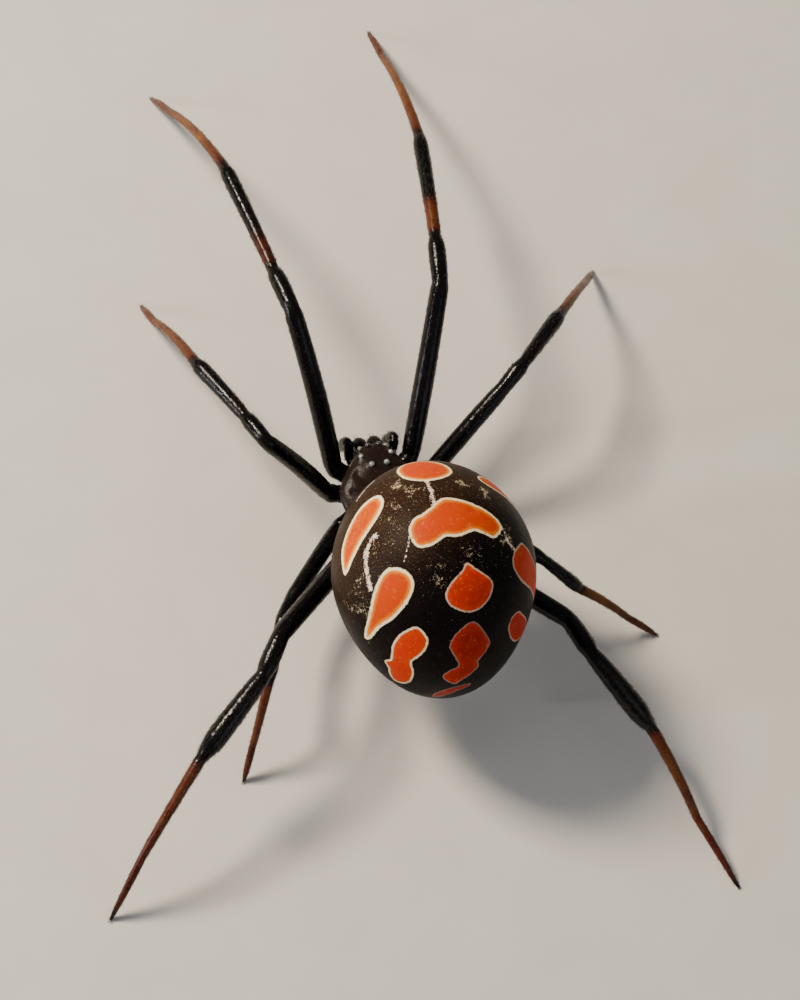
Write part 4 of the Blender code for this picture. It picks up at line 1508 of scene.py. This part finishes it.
    def pleura(self) -> Skin:
        """Make the folded soft wall between carapace and sternum.

        Returns:
            Its skin.
        """
        half_width, half_length, half_height, ahead = 1.18, 1.62, 0.36, 0.05
        level = self.height - 0.12
        x, y, z = np.moveaxis(globe(40, 80), -1, 0)
        fold = 1 + 0.03 * np.cos(y * 9 * math.pi) * (1 - z * z)
        places = np.stack([x * half_width * fold, y * half_length - ahead,
                           level + z * half_height], -1)
        poles = np.array([(0.0, way * half_length - ahead, level) for way in (-1, 1)])
        return Skin(places, poles)

    def mouthparts(self) -> bpy.types.Mesh:
        """Make the labium and the two maxillae in front of the sternum.

        Returns:
            Their mesh.
        """
        parts = []
        share = np.linspace(0, 1, 14)
        for wide, length, start, lean in ((0.24, 0.42, (0.0, -1.50), 0.0),
                                          (0.20, 0.74, (-0.46, -1.36), 0.16),
                                          (0.20, 0.74, (0.46, -1.36), -0.16)):
            path = np.stack([start[0] + lean * share * 1.4, start[1] - length * share,
                             self.height - 0.66 - 0.10 * share], -1)
            radii = wide * np.sqrt(np.clip(1 - (2 * share * 0.96 - 0.96) ** 6, 0, 1))
            part, _ = rounded_tube(path, radii, 20)
            part.values["tan"] = np.full(part.rings.shape[:2], 0.3)
            parts.append(part.mesh("mouthpart"))
        return joined(parts, "mouthparts")

    def jaw(self, side: Side) -> Skin:
        """Return one chelicera's basal segment.

        Args:
            side: which of the two.

        Returns:
            Its skin.
        """
        share = np.linspace(0, 1, 44)
        top = np.array((side.value * 0.31, -2.00, self.height - 0.02))
        path = top + np.array((side.value * 0.04, -0.14, -1.26)) * share[:, None]
        path[:, 1] -= 0.40 * np.sin(np.minimum(share * 1.5, 0.5 + share * 0.5) * math.pi)
        width = np.interp(share, (0, 0.10, 0.30, 0.7, 0.92, 1.0),
                          (0.23, 0.29, 0.31, 0.26, 0.19, 0.14))
        piece, along = rounded_tube(path, smooth_rows(width, 2.0), 32, 0.4, 0.6)
        piece.dress(along, 0.8, {"tan": 0.1 + 0.5 * share ** 2,
                                 "hair_density": 24.0 + 50.0 * share ** 2,
                                 "hair_length": 0.24})
        return piece

    def fang(self, side: Side) -> bpy.types.Mesh:
        """Return one fang, folded towards the middle under its jaw.

        Args:
            side: which of the two.

        Returns:
            Its mesh.
        """
        share = np.linspace(0, 1, 22)
        start = np.array((side.value * 0.38, -2.16, self.height - 1.30))
        bend = np.stack([-side.value * 0.30 * share ** 1.4, 0.16 * share,
                         -0.26 * np.sin(share * 2.2)], -1)
        radii = 0.085 * (1 - share) ** 0.7 + 0.008
        piece, _ = rounded_tube(start + bend, radii, 16)
        return piece.mesh("fang")

    def palp(self, side: Side) -> Skin:
        """Return one feeler, with its five joints.

        Args:
            side: which of the two.

        Returns:
            Its skin.
        """
        route = np.array(((0.60, 1.45, -0.56), (0.80, 1.74, -0.50), (0.92, 1.98, -0.38),
                          (0.96, 2.20, -0.16), (0.98, 2.42, -0.04), (0.99, 2.60, -0.16),
                          (0.99, 2.72, -0.50), (0.96, 2.80, -0.92), (0.92, 2.82, -1.36),
                          (0.89, 2.80, -1.68)))
        folded = smoothstep(0.0, 0.5, np.arange(len(route)) / (len(route) - 1))
        route[:, 0] += folded * (-0.10 if side is Side.LEFT else 0.12)
        route[:, 1] -= folded * (0.04 if side is Side.LEFT else 0.08)
        route = np.stack([route[:, 0] * side.value, -route[:, 1], self.height + route[:, 2]], -1)
        path = catmull(route, 12)
        travel = np.concatenate([[0], np.cumsum(np.linalg.norm(np.diff(path, axis=0), axis=1))])
        share = travel / travel[-1]
        radii = np.interp(share, (0, 0.13, 0.23, 0.33, 0.43, 0.52, 0.62, 0.78, 0.92, 1.0),
                          (0.17, 0.19, 0.19, 0.20, 0.21, 0.21, 0.20, 0.19, 0.14, 0.06))
        for joint in (0.17, 0.40, 0.53, 0.68):
            radii = radii * (1 - 0.14 * np.exp(-((share - joint) / 0.016) ** 2))
        piece, along = rounded_tube(path, radii, 26, 0.5, 0.6)
        foot = smoothstep(0.5, 0.85, share)
        piece.dress(along, 0.7, {"tan": 0.05 + 0.45 * foot, "membrane": 0.0,
                                 "hair_density": 40.0 + 70.0 * foot, "hair_length": 0.22})
        return piece


@dataclass(frozen=True)
class Profile:
    """A leg segment's outline: its body, and the necks at its two ends.

    body holds pairs of share of the length and share of the half-width. near and
    far hold a neck's share of the half-width and its length in millimetres. bow is
    how far it arches in shares of its length, hairs how many stand on a square
    millimetre and hair_length how many millimetres long they are.
    """

    body: Pairs
    near: tuple[float, float]
    far: tuple[float, float]
    bow: float
    hairs: float
    hair_length: float


PROFILES = {
    "coxa": Profile(((0, 0.84), (0.30, 1.06), (0.52, 1.02), (0.64, 0.80), (0.78, 1.10),
                     (0.90, 1.20), (1, 1.08)), (0.80, 0.2), (0.86, 0.10), 0.0, 34, 0.15),
    "femur": Profile(((0, 0.88), (0.05, 0.93), (0.18, 0.98), (0.40, 1.0), (0.70, 0.96),
                      (0.92, 0.92), (1, 0.90)), (0.88, 0.30), (0.90, 0.30), 0.03, 34, 0.15),
    "patella": Profile(((0, 0.92), (0.25, 0.96), (0.60, 1.0), (0.80, 0.98), (1, 0.90)),
                       (0.94, 0.30), (0.80, 0.42), 0.02, 40, 0.16),
    "tibia": Profile(((0, 0.84), (0.15, 0.86), (0.45, 0.93), (0.75, 1.0), (0.92, 1.0),
                      (1, 0.94)), (0.84, 0.36), (0.72, 0.44), 0.015, 62, 0.17),
    "metatarsus": Profile(((0, 0.90), (0.10, 0.84), (0.5, 0.72), (0.94, 0.62), (1, 0.62)),
                          (0.98, 0.10), (0.94, 0.10), 0.05, 95, 0.16),
    "tarsus": Profile(((0, 0.66), (0.35, 0.64), (0.65, 0.55), (0.88, 0.40), (1, 0.22)),
                      (0.94, 0.10), (1.0, 0.1), 0.02, 120, 0.14),
}


@dataclass(frozen=True)
class LegSize:
    """The sizes that the left and right leg of one pair share.

    root and socket are (out, forward, up) from the prosoma's centre. tan is how
    brown the metatarsus's root and tip and the tarsus are, belly how much the
    middle of the tibia swells, and bristly a factor on the tibia's hairs.
    """

    root: tuple[float, float, float]
    socket: tuple[float, float, float]
    lengths: tuple[float, ...]
    widths: tuple[float, ...]
    coxa_width: float
    tan: tuple[float, float, float]
    belly: float = 0.0
    bristly: float = 1.0


LEG_SIZES = {
    1: LegSize((0.98, 1.09, -0.44), (1.65, 1.53, -0.28), (7.35, 2.05, 5.29, 6.76, 2.32),
               (0.84, 0.74, 0.63, 0.50, 0.48), 0.76, (0.62, 0.84, 0.66)),
    2: LegSize((1.09, 0.36, -0.47), (2.08, 0.56, -0.47), (4.93, 1.52, 3.33, 4.79, 1.85),
               (0.76, 0.68, 0.66, 0.50, 0.48), 0.76, (0.60, 0.80, 0.64)),
    3: LegSize((1.06, -0.46, -0.47), (1.92, -0.93, -0.61), (4.18, 1.40, 2.49, 2.95, 1.73),
               (0.70, 0.62, 0.56, 0.48, 0.46), 0.68, (0.58, 0.66, 0.50)),
    4: LegSize((0.88, -1.20, -0.45), (1.53, -2.03, -0.51), (6.94, 1.83, 4.17, 4.23, 3.39),
               (0.86, 0.79, 0.80, 0.56, 0.50), 0.74, (0.54, 0.62, 0.48), 0.14, 1.3),
}


@dataclass(frozen=True)
class LegPose:
    """How one leg stands.

    headings holds each segment's degrees from straight ahead, outwards, rises the
    degrees that all but the last climb, tibia_tan how brown the tibia's root is and
    foot_tan how much lighter and browner the foot is painted than its pair's:
    a painted light on a foot that lies in the abdomen's shadow.
    """

    headings: tuple[float, ...]
    rises: tuple[float, ...]
    tibia_tan: float
    foot_tan: float = 0.0


LEG_POSES = {
    (Side.LEFT, 1): LegPose((16, 9, 9, 8, 8), (43, -9, -9, -42), 0.44),
    (Side.LEFT, 2): LegPose((67, 21, 24, 10, 4), (49, -16, -15, -44), 0.20),
    (Side.LEFT, 3): LegPose((137, 146, 156, 159, 159), (9, 9, 9, -44), 0.16),
    (Side.LEFT, 4): LegPose((132, 146, 132, 138, 142), (28, -7, -15, -25), 0.10),
    (Side.RIGHT, 1): LegPose((18, 7, 8, 4, 2), (30, 2, -12, -33), 0.64),
    (Side.RIGHT, 2): LegPose((54, 51, 46, 45, 44), (32, 20, -15, -41), 0.20),
    # The last number of the right third and fourth legs paints light on their feet.
    (Side.RIGHT, 3): LegPose((132, 129, 120, 116, 117), (29, -6, -38, -32), 0.16, 0.22),
    (Side.RIGHT, 4): LegPose((136, 167, 144, 158, 155), (13, 17, -23, -22), 0.10, 0.06),
}


@dataclass
class Leg:
    """One leg from its coxa to its claws, as one skin.

    joint_reach is how far the soft joint shows on a segment's near and far end,
    and claw_sizes holds each claw's place across, its length and its thickness.
    """

    side: Side
    pair: int
    step: float = 0.05
    side_count: int = 26
    prosoma_height: float = 2.7
    black: float = 0.03
    joint_reach: tuple[float, float] = (0.07, 0.05)
    joint_share: float = 0.2
    claw_sizes: tuple = ((-1, 0.17, 0.020), (1, 0.17, 0.020), (0, 0.09, 0.014))

    @property
    def stem(self) -> str:
        """The start of the leg's node names."""
        return f"leg_{self.side.word}_{self.pair}"

    def route(self) -> Points:
        """Find the leg's corners.

        Returns:
            The inner end, the socket and the end of each further segment.
        """
        size, pose = LEG_SIZES[self.pair], LEG_POSES[self.side, self.pair]
        sign = self.side.value
        route = [np.array((sign * out, -forward, self.prosoma_height + up))
                 for out, forward, up in (size.root, size.socket)]
        for order, length in enumerate(size.lengths):
            heading = math.radians(pose.headings[order])
            if order < len(pose.rises):
                rise = math.radians(pose.rises[order])
            else:
                rise = -math.asin(route[-1][2] / length)
            way = np.array((sign * math.sin(heading) * math.cos(rise),
                            -math.cos(heading) * math.cos(rise), math.sin(rise)))
            route.append(route[-1] + way * length)
        return np.array(route)

    def stations(self) -> tuple[Points, Points, dict[str, Points]]:
        """Run along the leg in short steps.

        Returns:
            The middle line, the radii, and what colour, joints and hairs need there.
        """
        route = self.route()
        size, pose = LEG_SIZES[self.pair], LEG_POSES[self.side, self.pair]
        path, radii = [], []
        values = {"tan": [], "membrane": [], "hair_density": [], "hair_length": []}
        widths = (size.coxa_width,) + size.widths
        for order, (kind, profile) in enumerate(PROFILES.items()):
            start, end = route[order], route[order + 1]
            length = float(np.linalg.norm(end - start))
            way = (end - start) / length
            lift = unit_rows(np.array((0.0, 0.0, 1.0)) - way * way[2]) * profile.bow * length
            count = max(int(length / self.step), 8)
            share = (np.arange(count) + 0.5) / count
            path.append(start + (end - start) * share[:, None]
                        + lift * (4 * share * (1 - share))[:, None])
            radius = np.interp(share, *np.array(profile.body).T)
            for neck, reach, away in ((*profile.near, share * length),
                                      (*profile.far, (1 - share) * length)):
                rise = np.sin(np.clip(away / reach, 0, 1) * math.pi / 2) ** 0.8
                radius *= neck + (1 - neck) * rise
            if kind == "tibia":
                radius *= 1 + size.belly * (np.sin(share * math.pi)
                                            - 2.0 * smoothstep(0.74, 1.0, share))
            radii.append(radius * widths[order] / 2)
            tan = np.full(count, self.black)
            if kind == "tibia":
                tan += (pose.tibia_tan * smoothstep(0.48, 0.22, share)
                        * smoothstep(0.0, 0.08, share))
                tan += 0.20 * smoothstep(0.93, 1.0, share)
            if kind == "metatarsus":
                tan += (size.tan[0] + (size.tan[1] - size.tan[0]) * smoothstep(0.0, 0.5, share)
                        ) * (0.45 + 0.55 * smoothstep(0.0, 0.10, share))
                # The foot is painted lighter where its pose asks for painted light.
                tan += pose.foot_tan - 0.14 * smoothstep(0.86, 1.0, share)
            if kind == "tarsus":
                tan += size.tan[2] + pose.foot_tan - 0.35 * smoothstep(0.70, 1.0, share)
            joint = np.exp(-(share * length / self.joint_reach[0]) ** 2)
            if kind != "tarsus":
                joint += np.exp(-((1 - share) * length / self.joint_reach[1]) ** 2)
            hairs = profile.hairs * (size.bristly if kind in ("tibia", "metatarsus") else 1.0)
            values["tan"].append(tan)
            values["membrane"].append(np.clip(joint, 0, 1) * self.joint_share)
            values["hair_density"].append(hairs * (1 - 0.5 * np.clip(joint, 0, 1)))
            values["hair_length"].append(np.full(count, profile.hair_length))
        return (np.concatenate(path), np.concatenate(radii),
                {key: np.concatenate(rows) for key, rows in values.items()})

    def skin(self) -> Skin:
        """Make the skin, flattened where the foot meets the floor.

        Returns:
            The skin.
        """
        path, radii, values = self.stations()
        path = smooth_rows(path, 3.6)
        radii = smooth_rows(radii, 2.2)
        path[:, 2] = np.maximum(path[:, 2], radii * 0.9)
        piece, along = rounded_tube(path, radii, self.side_count)
        piece.rings[..., 2] = np.maximum(piece.rings[..., 2], 0.0)
        piece.poles[:, 2] = np.maximum(piece.poles[:, 2], 0.0)
        piece.dress(along, 0.5, values)
        return piece

    def claws(self) -> bpy.types.Mesh:
        """Make the two curved claws and the small middle one at the tip.

        Returns:
            Their mesh.
        """
        path = self.stations()[0]
        end = path[-1]
        way = unit_rows(end - path[-6])
        level = unit_rows(np.array((way[0], way[1], 0.0)))
        across = np.cross(level, (0.0, 0.0, 1.0))
        share = np.linspace(0, 1, 14)
        claws = []
        for spread, length, thick in self.claw_sizes:
            start = end + across * spread * 0.022 - way * 0.03
            start[2] = max(start[2], 0.05)
            run = level * length * share[:, None]
            sideways = across * spread * 0.035 * np.sin(share * 2.0)[:, None]
            drop = np.stack([share * 0, share * 0,
                             0.03 * np.sin(share * math.pi) - (start[2] - 0.012) * share ** 2], -1)
            size = thick * (1 - share) ** 0.6 + 0.004
            piece, _ = rounded_tube(start + run + sideways + drop, size, 10)
            piece.rings[..., 2] = np.maximum(piece.rings[..., 2], 0.0)
            piece.poles[:, 2] = np.maximum(piece.poles[:, 2], 0.0)
            claws.append(piece.mesh("claw"))
        return joined(claws, self.stem + "_claws")


@dataclass(frozen=True)
class Softbox:
    """One rectangular light that faces the spider.

    way is how far it stands to the picture's right, up and back to the camera,
    as a direction. Its distance, width and height are in millimetres.
    """

    name: str
    way: tuple[float, float, float]
    far: float
    size: tuple[float, float]
    watts: float
    colour: str


# The key makes the globe's soft highlight and the strip the long streaks on the legs.
SOFTBOXES = (
    Softbox("key_softbox", (-0.60, 0.72, 0.72), 210, (44, 44), 0.66, "#fff0da"),
    Softbox("strip_softbox", (-0.95, -0.04, 0.45), 200, (7, 100), 0.21, "#f4f6ff"),
    Softbox("fill_softbox", (0.9, -0.5, 0.9), 260, (150, 150), 0.06, "#eaf0ff"),
)


@dataclass
class Studio:
    """The pale floor, the soft lights and the camera at the photograph's place.

    The camera looks at aim, which slide then moves in the picture. lens gives it
    the photograph's width of view on a sensor of the usual 36 mm.
    """

    elevation: float = math.radians(66.0)
    azimuth: float = math.radians(39.3)
    roll: float = math.radians(28.4)
    distance: float = 160.0
    slide: tuple[float, float] = (-0.164, 1.001)
    aim: tuple[float, float, float] = (-0.30, -0.10, 4.5)
    lens: float = 141.12
    sensor: float = 36.0
    lit: tuple[float, float, float] = (0.0, 2.0, 3.5)
    glow: float = 0.22
    floor_half: float = 900.0

    def axes(self) -> tuple[Vector, Vector, Vector]:
        """Find how the picture lies in space.

        Returns:
            Its right, its up, and the way back to the camera.
        """
        back = Vector((math.cos(self.elevation) * math.sin(self.azimuth),
                       math.cos(self.elevation) * math.cos(self.azimuth),
                       math.sin(self.elevation)))
        right = (-back).cross(Vector((0, 0, 1))).normalized()
        up = right.cross(-back)
        turned = right * math.cos(self.roll) + up * math.sin(self.roll)
        return turned, up * math.cos(self.roll) - right * math.sin(self.roll), back

    def camera(self) -> None:
        """Make the camera."""
        right, up, back = self.axes()
        aim = Vector(self.aim) - right * self.slide[0] - up * self.slide[1]
        place = (aim + back * self.distance) * MM + Vector(ORIGIN)
        data = bpy.data.cameras.new("camera")
        data.lens = self.lens
        data.sensor_width = self.sensor
        data.clip_start = 0.01
        data.clip_end = 20.0
        camera = bpy.data.objects.new("camera", data)
        bpy.context.scene.collection.objects.link(camera)
        camera.matrix_world = Matrix.Translation(place) @ Matrix(
            (right, up, back)).transposed().to_4x4()
        bpy.context.scene.camera = camera

    def lights(self) -> None:
        """Make the softboxes and the world's glow."""
        right, up, back = self.axes()
        centre = Vector(ORIGIN) + Vector(self.lit) * MM
        for box in SOFTBOXES:
            data = bpy.data.lights.new(box.name, "AREA")
            data.shape = "RECTANGLE"
            data.size, data.size_y = (side * MM for side in box.size)
            data.energy = box.watts
            data.color = linear(box.colour)[:3]
            lamp = bpy.data.objects.new(box.name, data)
            bpy.context.scene.collection.objects.link(lamp)
            way = (right * box.way[0] + up * box.way[1] + back * box.way[2]).normalized()
            turn = way.to_track_quat("Z", "Y").to_matrix().to_4x4()
            lamp.matrix_world = Matrix.Translation(centre + way * box.far * MM) @ turn
        world = bpy.data.worlds.new("studio_air")
        bpy.context.scene.world = world
        world.use_nodes = True
        world.node_tree.nodes.clear()
        air = add_node(world.node_tree, "ShaderNodeBackground", None, {
            "Color": linear("#dfe3e8"), "Strength": self.glow})
        add_node(world.node_tree, "ShaderNodeOutputWorld", None, {"Surface": air})

    def floor(self) -> None:
        """Make the plain pale floor."""
        half = self.floor_half * MM
        mesh = bpy.data.meshes.new("floor")
        mesh.from_pydata([(-half, -half, 0), (half, -half, 0), (half, half, 0),
                          (-half, half, 0)], [], [(0, 1, 2, 3)])
        floor = bpy.data.objects.new("floor", mesh)
        bpy.context.scene.collection.objects.link(floor)
        material, tree = new_material("matt_studio_board")
        place = add_node(tree, "ShaderNodeTexCoord").node.outputs["Object"]
        grain = add_node(tree, "ShaderNodeTexNoise", None, {
            "Vector": place, "Scale": 1 / (3 * MM), "Detail": 6.0})
        colour = add_node(tree, "ShaderNodeValToRGB",
                          {"stops": ((NOISE_LOW, "#e4ded4"), (NOISE_HIGH, "#e9e3d9"))},
                          {"Fac": grain})
        shader = add_node(tree, "ShaderNodeBsdfPrincipled", None, {
            "Base Color": colour, "Roughness": 0.8})
        add_node(tree, "ShaderNodeOutputMaterial", None, {"Surface": shader})
        mesh.materials.append(material)

    def build(self) -> None:
        """Make the whole studio."""
        self.floor()
        self.lights()
        self.camera()


def build_abdomen(finishes: dict[str, bpy.types.Material], coat: SetaeCoat) -> None:
    """Build the abdomen, its hairs, the spinnerets and the waist.

    Args:
        finishes: the materials by name.
        coat: what grows the hairs.
    """
    abdomen = Abdomen()
    skin = finished(abdomen.skin().mesh("abdomen_skin"), "abdomen_skin", finishes["abdomen"],
                    ("abdomen",))
    coat.grow(skin, "abdomen_setae", finishes["pale_hair"], 0.7, 3)
    finished(abdomen.spinnerets(), "spinneret_group", finishes["spinneret"],
             ("spinnerets",))
    finished(abdomen.waist(), "waist", finishes["membrane"], ("pedicel",))


def build_prosoma(finishes: dict[str, bpy.types.Material], coat: SetaeCoat) -> None:
    """Build the front body with its eyes, jaws and feelers.

    Args:
        finishes: the materials by name.
        coat: what grows the hairs.
    """
    prosoma = Prosoma()
    shell = finished(prosoma.carapace().mesh("carapace_skin"), "carapace_skin",
                     finishes["shield"], ("carapace",))
    coat.grow(shell, "carapace_setae", finishes["pale_hair"], 0.5, 5)
    for name, pale in (("dark_eyes", False), ("pearly_eyes", True)):
        finished(prosoma.eyes(pale), name, finishes["pearly_eye" if pale else "eye"])
    shield = finished(prosoma.sternum().mesh("sternum_skin"), "sternum_skin",
                      finishes["shield"], ("sternum",))
    coat.grow(shield, "sternum_setae", finishes["hair"], seed=6)
    finished(prosoma.pleura().mesh("pleura"), "pleura", finishes["membrane"])
    finished(prosoma.mouthparts(), "mouthparts", finishes["jaw"])
    for side in Side:
        jaw = finished(prosoma.jaw(side).mesh("jaw"), f"jaw_{side.word}", finishes["jaw"],
                       (f"chelicera_{side.word}",))
        coat.grow(jaw, f"jaw_{side.word}_setae", finishes["hair"], seed=7)
        finished(prosoma.fang(side), f"fang_{side.word}", finishes["fang"])
        palp = finished(prosoma.palp(side).mesh("feeler"), f"feeler_{side.word}",
                        finishes["leg"], (f"palp_{side.word}",))
        coat.grow(palp, f"feeler_{side.word}_setae", finishes["hair"], seed=8)


def build_leg(leg: Leg, finishes: dict[str, bpy.types.Material], coat: SetaeCoat) -> None:
    """Build one leg with its hairs and claws.

    Args:
        leg: the leg's sizes.
        finishes: the materials by name.
        coat: what grows the hairs.
    """
    nodes = [f"{leg.stem}_{kind}" for kind in PROFILES]
    skin = finished(leg.skin().mesh(leg.stem), leg.stem + "_skin", finishes["leg"],
                    nodes)
    seed = 20 + leg.pair * 2 + (leg.side is Side.LEFT)
    coat.grow(skin, leg.stem + "_setae", finishes["hair"], seed=seed)
    finished(leg.claws(), leg.stem + "_claws", finishes["claw"])


def main() -> None:
    """Build the studio and the spider, piece by piece."""
    logging.basicConfig(level=logging.INFO, format="%(name)s %(message)s")
    Studio().build()
    finishes = {name: finish.build() for name, finish in FINISHES.items()}
    coat = SetaeCoat()
    build_abdomen(finishes, coat)
    build_prosoma(finishes, coat)
    for side in Side:
        for pair in LEG_SIZES:
            build_leg(Leg(side, pair), finishes, coat)
    coat.clear()
    bpy.context.view_layer.update()


if __name__ == "__main__":
    main()
